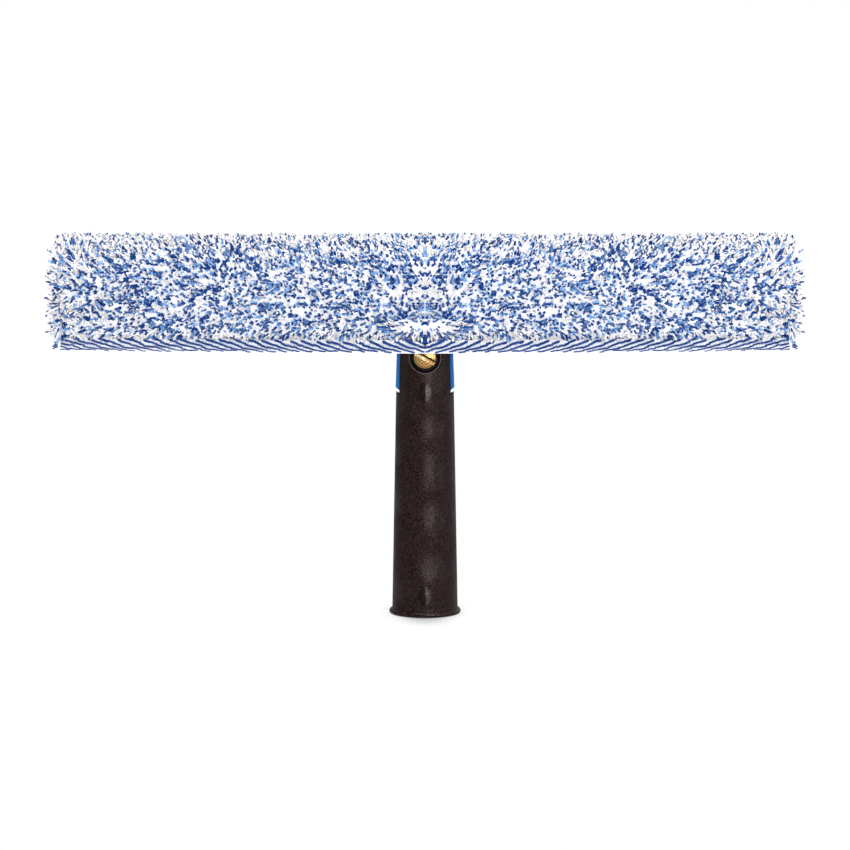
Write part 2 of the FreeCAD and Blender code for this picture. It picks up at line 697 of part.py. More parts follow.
def check():
    """Stops if anything failed to build."""
    for thing in doc.Objects:
        if {"Invalid", "Error"} & set(thing.State):
            raise RuntimeError(f"{thing.Name} is {thing.State}")
    for body in doc.findObjects("PartDesign::Body"):
        if body.Shape.isNull() or not body.Shape.isValid() or not body.Shape.Solids:
            raise RuntimeError(f"{body.Label} has no valid solid")


def export():
    os.makedirs("parts", exist_ok=True)
    for body in doc.findObjects("PartDesign::Body"):
        body.Shape.exportStep(f"parts/{body.Label}.step")
        print(body.Label, len(body.Shape.Solids), round(body.Shape.Volume))


build()
check()
export()
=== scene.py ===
"""Looks of the swivel window scrubber, in metres, in the frame of its solids.

X runs along the bar, -Y is the front and +Z is up. The rigid pieces keep their solids and get moulded,
turned and drawn finishes. The sleeve is remade as a backing cloth with tens of thousands of yarn tufts,
twill hems and closure tapes.
"""

import json
import math

import bpy
import numpy as np
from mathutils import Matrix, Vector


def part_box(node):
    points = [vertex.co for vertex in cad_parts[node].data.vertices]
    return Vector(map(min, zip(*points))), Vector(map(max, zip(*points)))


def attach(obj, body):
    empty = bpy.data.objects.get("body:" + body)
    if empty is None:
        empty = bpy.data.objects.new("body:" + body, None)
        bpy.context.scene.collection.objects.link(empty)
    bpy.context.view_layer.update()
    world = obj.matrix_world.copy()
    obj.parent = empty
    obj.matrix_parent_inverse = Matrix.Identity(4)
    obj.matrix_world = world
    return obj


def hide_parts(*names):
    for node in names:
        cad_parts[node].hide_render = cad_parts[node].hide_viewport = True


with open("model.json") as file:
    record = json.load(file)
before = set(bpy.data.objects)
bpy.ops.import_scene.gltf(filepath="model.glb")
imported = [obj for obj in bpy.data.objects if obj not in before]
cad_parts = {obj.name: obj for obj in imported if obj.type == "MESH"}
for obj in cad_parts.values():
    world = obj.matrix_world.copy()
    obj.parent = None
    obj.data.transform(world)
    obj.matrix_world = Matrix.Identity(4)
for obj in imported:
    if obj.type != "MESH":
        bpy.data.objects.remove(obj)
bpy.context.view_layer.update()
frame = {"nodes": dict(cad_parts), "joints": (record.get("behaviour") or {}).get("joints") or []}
nodes = frame["nodes"]
dice = np.random.default_rng(23)

MM = 0.001

# Sizes of the sleeve, from the solids where they show there.
COVER_LOW, COVER_HIGH = (np.array(corner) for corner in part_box("sleeve_cover"))
HALF_DEPTH = COVER_HIGH[1]
SLEEVE_TOP = COVER_HIGH[2]
LIP_BOTTOM = COVER_LOW[2]
COVER_END = COVER_HIGH[0]
SLEEVE_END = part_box("sleeve_end_right")[1].x
SLEEVE_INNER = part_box("loop_tape_right")[1].y
LIP_INSET = 5.5 * MM
LIP_RISE = 12 * MM
END_ROUND = 6 * MM
END_INSET = 3.6 * MM

# Places on the grip and the clamp screw. A gate nib has its height and the strength of the highlight painted
# on its right side.
PIVOT = np.array(frame["joints"][0]["pos_m"])
# Inside RECESS_RADIUS the grip is painted near black as shade. RECESS_EDGE is the radius of a pale ring
# painted there as a highlight.
RECESS_RADIUS = 6.95 * MM
RECESS_EDGE = 7.2 * MM
NIBS = ((9.8 * MM, 0.45), (float(PIVOT[2]) - 15.9 * MM, 1.0))
NIB_HALF_WIDTH = 3.3 * MM
NIB_HALF_LENGTH = 4.8 * MM
# The coin slot's place, where shadow and light are painted on its floor.
HEAD_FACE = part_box("pivot_screw")[0].y
SLOT_TURN = math.radians(-29)
SLOT_HALF_WIDTH = 1.15 * MM
SLOT_DEPTH = 1.8 * MM

# Sizes of the finishes.
RIM_TOP = 3 * MM
RIM_BLEND = 1 * MM
# Width of the pale ring painted as a highlight on the edge of the screw's recess.
RECESS_HIGHLIGHT_WIDTH = 0.35 * MM
GRIP_SWELL = 22 * MM
SWELL_HEIGHT = 0.5 * MM
DRIFT_HEIGHT = 0.9 * MM
GRAIN_HEIGHT = 0.18 * MM
PIT_HEIGHT = 0.12 * MM
NIB_DOME = 0.9 * MM
# The blend and the jitter of the highlight painted on the right side of the gate nibs.
NIB_HIGHLIGHT_BLEND = 0.5 * MM
NIB_HIGHLIGHT_JITTER = 1 * MM
TURNING_PITCH = 0.32 * MM
TURNING_DEPTH = 0.04 * MM
# Pitch of the dark rings painted as reflections on the screw's head.
DARK_RING_PITCH = 1.3 * MM
# Where the light painted on the coin slot's floor starts along the slot and where it is full.
SLOT_LIGHT_START = 4 * MM
SLOT_LIGHT_FULL = -1 * MM
# Where the highlight painted on the tongue's sides starts and where it is full, and its jitter.
TONGUE_HIGHLIGHT_START = 12.2 * MM
TONGUE_HIGHLIGHT_FULL = 13.4 * MM
TONGUE_HIGHLIGHT_JITTER = 0.6 * MM
YOKE_GRAIN_DEPTH = 0.1 * MM
STREAK_DEPTH = 0.05 * MM
YARN_SOAK_DEPTH = 2.0 * MM
FIBRE_DEPTH = 0.2 * MM
STITCH_ROW = 1.4 * MM
STITCH_WALE = 1.1 * MM
STITCH_DEPTH = 0.3 * MM

# Sizes of the pile and of its backing cloth.
TUFT_PITCH = 1.1 * MM
END_PITCH_SHARE = 0.85
PLACE_JITTER = 0.4
TUFT_RADIUS = 0.6 * MM
RADIUS_SHARES = (0.8, 1.2)
LONGEST_TUFT = 8 * MM
PILE_DEPTH = 5.0 * MM
CLOTH_DEPTH = 1.5 * MM
CLOTH_BACK = PILE_DEPTH + 0.4 * MM
COVER_OVERRUN = 1 * MM
BALD_SPOT = 2 * MM
SKIN_SHARE = 0.85
END_SKIN_SHARE = 0.35
FRONT_SHARE = 0.42
REAR_SHARE = 0.62

# The blue yarns, their flecks, and the share of the way that tips are drawn to the yarn.
YARN_PITCH = 2.4 * MM
FLECK_RADIUS = 1.01 * MM
TOP_ZONE_SHARE = 0.2
TOP_FLECK_SHARE = 0.35
LIP_FLECK_SHARE = 0.3
NEAR_END_FLECK_LOSS = 0.4
END_FLECK_SHARE = 0.58
STRAY_SHARE = 0.07
BLUE_RISE = 1.08
BLUE_DRAW = 0.6
WHITE_DRAW = -0.15

# How the pile lies: along the lips, at the ends, in the middle and in the fan over the front lip.
LIP_ZONE = 5 * MM
LIP_DROOP = 3.5 * MM
LIP_RECESS = 1.3 * MM
LIP_OVERHANG = 2.0 * MM
LIP_TUFT_SHARE = 0.75
LIP_LEAN_SHARE = 0.5
END_ZONE = 45 * MM
SHORTEST_FRINGE = -0.5 * MM
LONGEST_FRINGE = 3.5 * MM
END_FAN = 1.3
END_FAN_MIDDLE = 0.2
MIDDLE_ZONE = 30 * MM
COMB_ASIDE = 0.9
COMB_UP = 0.3
FAN_LEVEL = 10 * MM
FAN_FADE = 4 * MM
FAN_WIDTH = 22 * MM
FAN_EDGE = 0.3
FAN_THINNING = 0.25
RAY_TURN = 5.5
RAY_JITTER = 0.25

# Its slow waves, its turn in radians and its tilt in degrees.
LONG_TURN_WAVE = 45 * MM
SHORT_TURN_WAVE = 14 * MM
TILT_WAVE = 20 * MM
DROOP_WAVE = 9 * MM
TURN_JITTER = 0.7
LONG_TURN = 0.6
SHORT_TURN = 0.45
FAN_JITTER_LOSS = 0.6
FAN_TURN_LOSS = 0.8
TILT = 25
TILT_SWAY = 8
TILT_JITTER = 8
END_TILT = 20
FAN_TILT = 34
LEAST_TILT = 5
MOST_TILT = 66

# Colours of the yarns at the root and above it, of the cloth and of the tapes, linear.
# The white yarn's bluish root is painted shade, for the tint of the gaps between its tufts.
WHITE_ROOT_SHADE = (0.87, 0.905, 0.985, 1)
WHITE_YARN = (0.885, 0.862, 0.94, 1)
PALE_YARN = (0.985, 0.89, 0.91, 1)
BLUE_ROOT = (0.004, 0.032, 0.18, 1)
BLUE_YARN = (0.0005, 0.025, 0.15, 1)
FADED_YARN = (0.21, 0.41, 0.78, 1)
CLOTH_COLOURS = ((0.86, 0.89, 0.97, 1), (0.92, 0.93, 0.98, 1))
TAPE_COLOURS = ((0.62, 0.63, 0.66, 1), (0.76, 0.77, 0.8, 1))


class Value:
    """A socket of a node tree. Sums, differences, products and powers of values add their Math nodes."""

    def __init__(self, shader, socket):
        self.shader = shader
        self.socket = socket

    def __add__(self, other):
        return self.shader.math("ADD", self, other)

    def __radd__(self, other):
        return self.shader.math("ADD", other, self)

    def __sub__(self, other):
        return self.shader.math("SUBTRACT", self, other)

    def __rsub__(self, other):
        return self.shader.math("SUBTRACT", other, self)

    def __mul__(self, other):
        return self.shader.math("MULTIPLY", self, other)

    def __rmul__(self, other):
        return self.shader.math("MULTIPLY", other, self)

    def __truediv__(self, other):
        return self.shader.math("DIVIDE", self, other)

    def __pow__(self, other):
        return self.shader.math("POWER", self, other)


class Shader:
    """The nodes of one material or world."""

    def __init__(self, owner):
        owner.use_nodes = True
        self.owner = owner
        self.tree = owner.node_tree
        self.tree.nodes.clear()

    def node(self, kind, settings=None, output=0, **sockets):
        """Adds a node, sets its settings, fills its sockets by name, and gives one of its outputs.

        A socket's name is written with _ for a space. A number after the last _ is a socket's place."""
        node = self.tree.nodes.new(kind)
        for name, setting in (settings or {}).items():
            setattr(node, name, setting)
        for name, value in sockets.items():
            self.fill(self.find(node, name), value)
        return Value(self, node.outputs[output]) if node.outputs else None

    @staticmethod
    def find(node, name):
        words = name.replace("_", " ")
        if words[-1].isdigit():
            return node.inputs[int(words.split()[-1])]
        return node.inputs[words]

    def fill(self, socket, value):
        if isinstance(value, Value):
            self.tree.links.new(value.socket, socket)
        else:
            socket.default_value = value

    def math(self, operation, *terms):
        sockets = {f"socket_{number}": term for number, term in enumerate(terms)}
        return self.node("ShaderNodeMath", {"operation": operation}, **sockets)

    def place(self):
        """Object coordinates."""
        return self.node("ShaderNodeTexCoord", output="Object")

    def split(self, vector):
        """The three parts of a vector."""
        node = self.tree.nodes.new("ShaderNodeSeparateXYZ")
        self.fill(node.inputs[0], vector)
        return [Value(self, socket) for socket in node.outputs]

    def stretch(self, vector, scale):
        return self.node("ShaderNodeMapping", Vector=vector, Scale=scale)

    def noise(self, vector, scale, detail=2.0, roughness=0.5):
        sockets = {"Vector": vector, "Scale": scale, "Detail": detail, "Roughness": roughness}
        return self.node("ShaderNodeTexNoise", **sockets)

    def blend(self, factor, first, second):
        """A colour between two, by the factor."""
        settings = {"data_type": "RGBA", "clamp_factor": True}
        sockets = {"socket_0": factor, "socket_6": first, "socket_7": second}
        return self.node("ShaderNodeMix", settings, output=2, **sockets)

    def ray(self, kind):
        """1 for light rays of a kind, for the floor and the world."""
        return self.node("ShaderNodeLightPath", output=f"Is {kind} Ray")

    def attribute(self, name):
        return self.node("ShaderNodeAttribute", {"attribute_name": name}, output="Fac")

    def bump(self, height, strength, distance):
        return self.node("ShaderNodeBump", Height=height, Strength=strength, Distance=distance)

    def surface(self, **sockets):
        """Ends the material in one Principled shader."""
        shader = self.node("ShaderNodeBsdfPrincipled", **sockets)
        self.node("ShaderNodeOutputMaterial", Surface=shader)
        return self.owner


def new_finish(name):
    return Shader(bpy.data.materials.new(name))


def put_on(node, material):
    """Gives a solid's object its finish."""
    mesh = nodes[node].data
    mesh.materials.clear()
    mesh.materials.append(material)


def grip_plastic():
    """Black moulded plastic, faintly brown: a fine spark-eroded grain over slow swells, and worn patches.

    The edge of the screw's recess has a pale ring painted as a highlight, and the recess inside it is
    painted near black as shade. Each gate nib has a highlight painted on its right side and shade painted on
    its left."""
    shader = new_finish("grip_plastic")
    place = shader.place()
    x, y, z = shader.split(place)
    lift = z - float(PIVOT[2])
    from_axis = shader.math("SQRT", x * x + lift * lift)
    in_recess = shader.math("LESS_THAN", from_axis, RECESS_RADIUS)
    mottle = shader.noise(place, 160, detail=4)
    grain = shader.noise(place, 1300, detail=2)
    drift = shader.noise(shader.stretch(place, (1, 1, 0.6)), 60, detail=2)
    pits = shader.noise(place, 850, detail=2)
    swell = shader.math("SINE", z * (2 * math.pi / GRIP_SWELL) + drift * 6)
    rim = {"From_Min": RIM_TOP - RIM_BLEND, "From_Max": RIM_TOP, "To_Min": 0.5}
    rolled = shader.node("ShaderNodeMapRange", Value=z, **rim)
    speck = shader.noise(place, 1500, detail=3, roughness=0.75)
    patches = 0.35 + (mottle - 0.5) * 0.5 + (speck - 0.5) * 7.5
    colour = shader.blend(patches, (0.0032, 0.0009, 0.0007, 1), (0.0255, 0.0138, 0.0118, 1))
    off_edge = shader.math("ABSOLUTE", from_axis - RECESS_EDGE) / RECESS_HIGHLIGHT_WIDTH
    in_front = shader.math("LESS_THAN", y, 0.0)
    painted_edge_highlight = shader.math("MAXIMUM", 1.0 - off_edge, 0.0) * in_front
    # A pale ring on the edge of the recess is a painted highlight.
    colour = shader.blend(painted_edge_highlight, colour, (0.075, 0.068, 0.066, 1))
    # The recess round the screw is painted near black, as shade.
    colour = shader.blend(in_recess, colour, (0.0015, 0.001, 0.001, 1))
    height = grain * GRAIN_HEIGHT + pits * PIT_HEIGHT + swell * SWELL_HEIGHT + drift * DRIFT_HEIGHT
    uneven = x + (pits - 0.5) * NIB_HIGHLIGHT_JITTER
    lit_side = shader.node("ShaderNodeMapRange", Value=uneven, From_Max=NIB_HIGHLIGHT_BLEND)
    dull = in_recess
    for nib_level, highlight_share in NIBS:
        across, along = x / NIB_HALF_WIDTH, (z - nib_level) / NIB_HALF_LENGTH
        dome = shader.math("MAXIMUM", 1.0 - across * across - along * along, 0.0) * in_front
        height = height + dome * NIB_DOME
        on_nib = shader.node("ShaderNodeMapRange", Value=dome, From_Min=0.0, From_Max=0.4)
        # Each nib gets a highlight painted pale on its right side and shade painted near black on its left.
        painted_highlight = on_nib * lit_side * (speck * 3.0 - 0.9) * highlight_share
        colour = shader.blend(painted_highlight, colour, (0.13, 0.108, 0.104, 1))
        painted_shade = on_nib * (1.0 - lit_side) * 0.5
        colour = shader.blend(painted_shade, colour, (0.0004, 0.0003, 0.0003, 1))
        dull = shader.math("MAXIMUM", dull, painted_shade)
    return shader.surface(
        Base_Color=colour,
        Roughness=shader.math("MAXIMUM", (0.31 + 0.14 * mottle) * rolled, dull),
        Specular_IOR_Level=0.21,
        Specular_Tint=(1, 0.88, 0.85, 1),
        Normal=shader.bump(height, 1.0, 1.0),
    )


def turned_brass():
    """Turned brass: fine rings about the swivel axis, dark rings painted as reflections on the head, a
    darker tarnish in patches, light painted on the coin slot's floor, and shade painted along its upper
    wall."""
    shader = new_finish("turned_brass")
    x, y, z = shader.split(shader.place())
    lift = z - float(PIVOT[2])
    radius = shader.math("SQRT", x * x + lift * lift)
    rings = shader.math("SINE", radius * (2 * math.pi / TURNING_PITCH))
    painted_rings = shader.math("SINE", radius * (2 * math.pi / DARK_RING_PITCH)) * 0.5 + 0.5
    tarnish = shader.noise(shader.place(), 420, detail=3)
    colour = shader.blend(tarnish, (0.95, 0.61, 0.26, 1), (0.66, 0.38, 0.12, 1))
    # Dark rings about the axis are painted reflections.
    colour = shader.blend(painted_rings ** 3.0 * 0.9, colour, (0.20, 0.095, 0.025, 1))
    depth = (y - float(HEAD_FACE)) / SLOT_DEPTH
    in_slot = shader.node("ShaderNodeMapRange", Value=depth, From_Min=0.35, From_Max=0.6)
    in_slot = in_slot * shader.math("LESS_THAN", y, 0.0)
    across = x * -math.sin(SLOT_TURN) + lift * math.cos(SLOT_TURN)
    along = x * math.cos(SLOT_TURN) + lift * math.sin(SLOT_TURN)
    upper = shader.node("ShaderNodeMapRange", Value=across / SLOT_HALF_WIDTH, From_Min=0.0, From_Max=0.25)
    painted_slot_light = shader.node("ShaderNodeMapRange", Value=along, From_Min=SLOT_LIGHT_START, From_Max=SLOT_LIGHT_FULL)
    # The pale cream on the slot's floor is painted light.
    colour = shader.blend(in_slot * painted_slot_light, colour, (0.72, 0.58, 0.36, 1))
    painted_slot_shadow = in_slot * upper
    # A dark strip along the slot's upper wall is a painted shadow.
    colour = shader.blend(painted_slot_shadow, colour, (0.05, 0.022, 0.008, 1))
    return shader.surface(
        Base_Color=colour,
        Metallic=1.0,
        Roughness=0.26 + 0.16 * tarnish + 0.3 * painted_slot_shadow,
        Normal=shader.bump(rings, 0.2, TURNING_DEPTH),
    )


def dark_spring_steel():
    """Oiled spring steel with a faint brushed streak."""
    shader = new_finish("dark_spring_steel")
    streak = shader.noise(shader.stretch(shader.place(), (1, 8, 1)), 700, detail=3)
    colour = shader.blend(streak, (0.006, 0.0055, 0.005, 1), (0.014, 0.013, 0.012, 1))
    return shader.surface(Base_Color=colour, Metallic=0.8, Roughness=0.35 + 0.2 * streak)


def yoke_plastic():
    """Blue moulded plastic with a soft sheen and a fine grain, with a highlight painted paler on the
    tongue's sides.
    """
    shader = new_finish("yoke_plastic")
    place = shader.place()
    x, y, z = shader.split(place)
    cloud = shader.noise(place, 140, detail=3)
    grain = shader.noise(place, 2400)
    colour = shader.blend(cloud, (0.001, 0.05, 0.19, 1), (0.003, 0.085, 0.28, 1))
    aside = shader.math("ABSOLUTE", x) + (cloud - 0.5) * TONGUE_HIGHLIGHT_JITTER
    sides = {"From_Min": TONGUE_HIGHLIGHT_START, "From_Max": TONGUE_HIGHLIGHT_FULL}
    painted_highlight = shader.node("ShaderNodeMapRange", Value=aside, **sides)
    # The tongue's sides are painted paler, as a highlight.
    colour = shader.blend(painted_highlight * 0.6, colour, (0.004, 0.17, 0.40, 1))
    return shader.surface(
        Base_Color=colour,
        Roughness=0.42 + 0.12 * cloud,
        Specular_IOR_Level=0.2,
        Normal=shader.bump(grain, 0.2, YOKE_GRAIN_DEPTH),
    )


def drawn_aluminium():
    """Aluminium with the long streaks of drawing along the bar."""
    shader = new_finish("drawn_aluminium")
    streak = shader.noise(shader.stretch(shader.place(), (0.02, 1, 1)), 2200, detail=3)
    colour = shader.blend(streak, (0.60, 0.61, 0.63, 1), (0.78, 0.79, 0.81, 1))
    return shader.surface(
        Base_Color=colour,
        Metallic=1.0,
        Roughness=0.28 + 0.18 * streak,
        Normal=shader.bump(streak, 0.2, STREAK_DEPTH),
    )


def plug_plastic():
    """Black nylon of the bar's end plugs."""
    shader = new_finish("plug_plastic")
    cloud = shader.noise(shader.place(), 300, detail=3)
    colour = shader.blend(cloud, (0.012, 0.012, 0.013, 1), (0.024, 0.024, 0.026, 1))
    return shader.surface(Base_Color=colour, Roughness=0.45 + 0.15 * cloud)


def yarn(name, root, deep, pale, soak):
    """Dyed pile yarn: tinted at the root, where the white yarn's bluish tint is painted shade between the
    tufts, and each tuft between a deep and a pale tint of its colour. Light soaks into it by the given
    share."""
    shader = new_finish(name)
    along = shader.attribute("along")
    tint = shader.attribute("tint")
    fibre = shader.noise(shader.place(), 2500, detail=1)
    tip = shader.blend(tint, deep, pale)
    colour = shader.blend(along + (fibre - 0.5) * 0.3, root, tip)
    return shader.surface(
        Base_Color=colour,
        Roughness=0.85,
        Specular_IOR_Level=0.1,
        Subsurface_Weight=soak,
        Subsurface_Radius=(1, 1, 1),
        Subsurface_Scale=YARN_SOAK_DEPTH,
        Normal=shader.bump(fibre, 0.3, FIBRE_DEPTH),
    )


def backing_cloth(name, colour_low, colour_high):
    """Knitted backing: rows of small stitches along the bar."""
    shader = new_finish(name)
    x, y, z = shader.split(shader.place())
    rows = shader.math("SINE", x * (2 * math.pi / STITCH_ROW))
    wales = shader.math("SINE", (z + y) * (2 * math.pi / STITCH_WALE))
    knit = rows * wales
    colour = shader.blend(knit * 0.5 + 0.5, colour_low, colour_high)
    return shader.surface(
        Base_Color=colour,
        Roughness=0.9,
        Specular_IOR_Level=0.1,
        Normal=shader.bump(knit, 0.5, STITCH_DEPTH),
    )


def unit(vectors):
    return vectors / np.linalg.norm(vectors, axis=-1, keepdims=True)


def new_piece(name, points, faces, material, attributes=None):
    """A mesh piece of the head, in place, with smooth shading and any point attributes."""
    mesh = bpy.data.meshes.new(name)
    mesh.from_pydata(points, [], faces)
    for title, values in (attributes or {}).items():
        layer = mesh.attributes.new(title, "FLOAT", "POINT")
        layer.data.foreach_set("value", np.ascontiguousarray(values, np.float32))
    mesh.shade_smooth()
    mesh.materials.append(material)
    piece = bpy.data.objects.new(name, mesh)
    bpy.context.scene.collection.objects.link(piece)
    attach(piece, "head")
    return piece


def shade(piece, normals):
    """Gives a piece its own shading normals, one for each point."""
    piece.data.normals_split_custom_set_from_vertices(unit(normals).tolist())


def waves(x, s, length, count=7):
    """A smooth random field, about -1 to 1: a sum of sines of random direction, near one wavelength."""
    turn = dice.uniform(0, 2 * math.pi, count)
    pace = 2 * math.pi / (length * dice.uniform(0.7, 1.6, count))
    phase = dice.uniform(0, 2 * math.pi, count)
    kx, ks = pace * np.cos(turn), pace * np.sin(turn)
    angle = np.multiply.outer(x, kx) + np.multiply.outer(s, ks) + phase
    return np.sin(angle).sum(-1) / math.sqrt(count)


def arc(centre, radius, start, end, count):
    """Points on an arc of a circle, by angle from start to end."""
    angle = np.linspace(start, end, count)
    return np.stack([centre[0] + radius * np.cos(angle), centre[1] + radius * np.sin(angle)], -1)


def sleeve_section():
    """The sleeve's outer line (y, z) from its front lip over the top to its rear lip: a lip arc, an upright
    side, a half circle, a side and a lip arc."""
    lip_radius = (LIP_INSET**2 + LIP_RISE**2) / (2 * LIP_INSET)
    lip_turn = math.asin(LIP_RISE / lip_radius)
    lip_centre = (HALF_DEPTH - lip_radius, LIP_BOTTOM + LIP_RISE)
    rear_lip = arc(lip_centre, lip_radius, 0, -lip_turn, 60)
    crown = arc((0, SLEEVE_TOP - HALF_DEPTH), HALF_DEPTH, math.pi, 0, 240)
    front_lip = rear_lip[::-1] * (-1, 1)
    return np.concatenate([front_lip, crown, rear_lip])


SECTION = sleeve_section()
STEPS = np.linalg.norm(np.diff(SECTION, axis=0), axis=1)
REACH = np.concatenate([[0], np.cumsum(STEPS)])
GIRTH = REACH[-1]


def on_section(s, inset=0.0):
    """Points and outward normals (y, z) of the section at the lengths s along it, moved in by inset."""
    slope = np.gradient(SECTION, REACH, axis=0)
    point = np.stack([np.interp(s, REACH, SECTION[:, k]) for k in (0, 1)], -1)
    along = unit(np.stack([np.interp(s, REACH, slope[:, k]) for k in (0, 1)], -1))
    normal = np.stack([-along[..., 1], along[..., 0]], -1)
    return point - normal * inset, normal


def rounded(wave, power):
    """A sine or cosine drawn towards a square wave: its size to a power below 1, with its own sign."""
    return np.sign(wave) * np.abs(wave) ** power


def tubes(paths, radii, side):
    """Closed tapered tubes with four sides, a little wider than high: ring k of tube i stands square to its
    path at paths[i, k], with the radius radii[i, k], and a flat face closes each end. Gives the points
    (tube, ring, corner), the quads, and each point's direction from the path."""
    count, rings = radii.shape
    along = unit(np.gradient(paths, axis=1))
    wide = np.broadcast_to(side[:, None, :], along.shape)
    high = np.cross(along, wide)
    angle = (np.arange(4) * math.pi / 2 + math.pi / 4)[:, None]
    ring = wide[:, :, None, :] * 1.2 * np.cos(angle) + high[:, :, None, :] * 0.8 * np.sin(angle)
    points = paths[:, :, None, :] + radii[:, :, None, None] * ring
    corner = np.arange(4)
    after = (corner + 1) % 4
    low = np.arange(rings - 1)[:, None] * 4
    wall = np.stack([low + corner, low + after, low + 4 + after, low + 4 + corner], -1)
    ends = np.stack([corner[::-1], (rings - 1) * 4 + corner])
    one = np.concatenate([wall.reshape(-1, 4), ends])
    quads = np.arange(count)[:, None, None] * (rings * 4) + one
    return points.reshape(-1, 3), quads.reshape(-1, 4), ring.reshape(-1, 3)


# The rings of a tuft from root to tip, their shares of its radius, and the least x, y and z of the normal
# that it is shaded by.
TUFT_STEPS = np.array([0.0, 0.4, 0.78, 1.0])
TUFT_SWELL_SHARES = np.array([0.85, 1.0, 1.0, 0.6])
LOWEST_SKIN = np.array([-1.0, -1.0, -0.1])


def tuft_piece(name, tufts, chosen, material, skin_share=SKIN_SHARE):
    """A piece of the pile. A tuft rises from its root along the normal and leans over more towards its tip:
    point = root + normal * rise * t + lean * (t * 0.35 + t^2 * 0.65) + gather * t^2.

    Its shading normals lean towards the skin of the pile, and hardly down at the lips, as light that soaks
    through the fibres makes a real tuft look."""
    t = TUFT_STEPS[:, None]
    pick = {key: value[chosen] for key, value in tufts.items()}
    rise = pick["normal"][:, None] * pick["rise"][:, None, None] * t
    lean = pick["lean"][:, None] * (0.35 * t + 0.65 * t**2)
    gather = pick["gather"][:, None] * t**2
    paths = pick["root"][:, None] + rise + lean + gather
    radii = pick["radius"][:, None] * TUFT_SWELL_SHARES
    side = unit(np.cross(pick["normal"], pick["lean"] + pick["normal"] * 1e-9 + pick["gather"] * 0.1))
    points, quads, outward = tubes(paths, radii, side)
    corners = len(TUFT_STEPS) * 4
    skin = np.repeat(unit(np.maximum(pick["normal"], LOWEST_SKIN)), corners, axis=0)
    attributes = {
        "along": np.tile(np.repeat(TUFT_STEPS, 4), len(side)),
        "tint": np.repeat(pick["tint"], corners),
    }
    piece = new_piece(name, points, quads, material, attributes)
    shade(piece, skin_share * skin + (1 - skin_share) * outward)


def jitter(count):
    """Random steps off the points of a grid, as shares of its pitch."""
    return dice.uniform(-PLACE_JITTER, PLACE_JITTER, count)


def cover_places():
    """Places of the tufts on the left half of the cover: a jittered grid of x along the bar and s round the
    section."""
    rows, columns = int(GIRTH / TUFT_PITCH), int((COVER_END + COVER_OVERRUN) / TUFT_PITCH)
    row, column = (grid.ravel() for grid in np.mgrid[0:rows, 0:columns])
    s, x = row.astype(float), column.astype(float)
    x = -(x + 0.5 * (s % 2) + jitter(x.size)) * TUFT_PITCH
    s = np.clip((s + 0.5 + jitter(s.size)) * TUFT_PITCH, 0, GIRTH)
    return x, s


def lip_fan(x, s, level):
    """The fan that hangs over the middle of the front lip from one point: how far each tuft belongs to it, a
    bell curve along the bar that fades out above that point, and how far the tuft is from the point."""
    below = np.clip((FAN_LEVEL + FAN_FADE / 2 - level) / FAN_FADE, 0, 1)
    in_fan = np.exp(-((x / FAN_WIDTH) ** 2)) * below * (s < GIRTH / 2)
    return in_fan, np.hypot(x, level - FAN_LEVEL)


def combing(x, s, level, to_end, in_fan, spread):
    """The turn of each tuft from the bar's direction and its tilt from upright.

    The pile is combed away from the middle and fans out at the end. In the lip's fan it points away from the
    fan's point. Slow random waves turn and tilt it."""
    off_middle = np.clip(-x / MIDDLE_ZONE, 0, 1)
    aside = -COMB_ASIDE * off_middle * (1 - in_fan) + in_fan * x / spread
    upward = COMB_UP * (1 - in_fan) + in_fan * (level - FAN_LEVEL) / spread
    middle = END_FAN_MIDDLE * GIRTH
    upward += END_FAN * to_end**2 * (level - middle) / middle
    turn = np.arctan2(upward, aside)
    turn += dice.normal(0, TURN_JITTER, x.size) * (1 - FAN_JITTER_LOSS * in_fan)
    sway = LONG_TURN * waves(x, s, LONG_TURN_WAVE) + SHORT_TURN * waves(x, s, SHORT_TURN_WAVE)
    turn += sway * (1 - FAN_TURN_LOSS * in_fan)
    tilt = TILT + TILT_SWAY * waves(x, s, TILT_WAVE) + END_TILT * to_end
    tilt += FAN_TILT * in_fan * np.clip(spread / FAN_LEVEL, 0, 1)
    tilt += dice.normal(0, TILT_JITTER, x.size)
    return turn, np.radians(np.clip(tilt, LEAST_TILT, MOST_TILT))


def blue_tufts(x, level, at_lip, to_end, in_fan, to_yarn, fleck):
    """True for the blue tufts: those inside the fleck of their yarn, which is smaller over the top, at the
    lips and at the ends, a few strays, and every second ray of the lip's fan."""
    below_top = np.clip((0.5 * GIRTH - level) / (TOP_ZONE_SHARE * GIRTH), 0, 1)
    stray = dice.uniform(0, 1, x.size) < STRAY_SHARE * below_top * at_lip
    fleck = fleck * (TOP_FLECK_SHARE + (1 - TOP_FLECK_SHARE) * below_top)
    fleck = fleck * (LIP_FLECK_SHARE + (1 - LIP_FLECK_SHARE) * at_lip)
    fleck = fleck * (1 - NEAR_END_FLECK_LOSS * to_end)
    blue = (np.linalg.norm(to_yarn, axis=-1) < fleck) | stray
    ray = np.degrees(np.arctan2(FAN_LEVEL - level, -x)) / RAY_TURN
    ray += RAY_JITTER * dice.normal(0, 1, x.size)
    return np.where(in_fan > FAN_EDGE, np.floor(ray) % 2 < 1, blue)


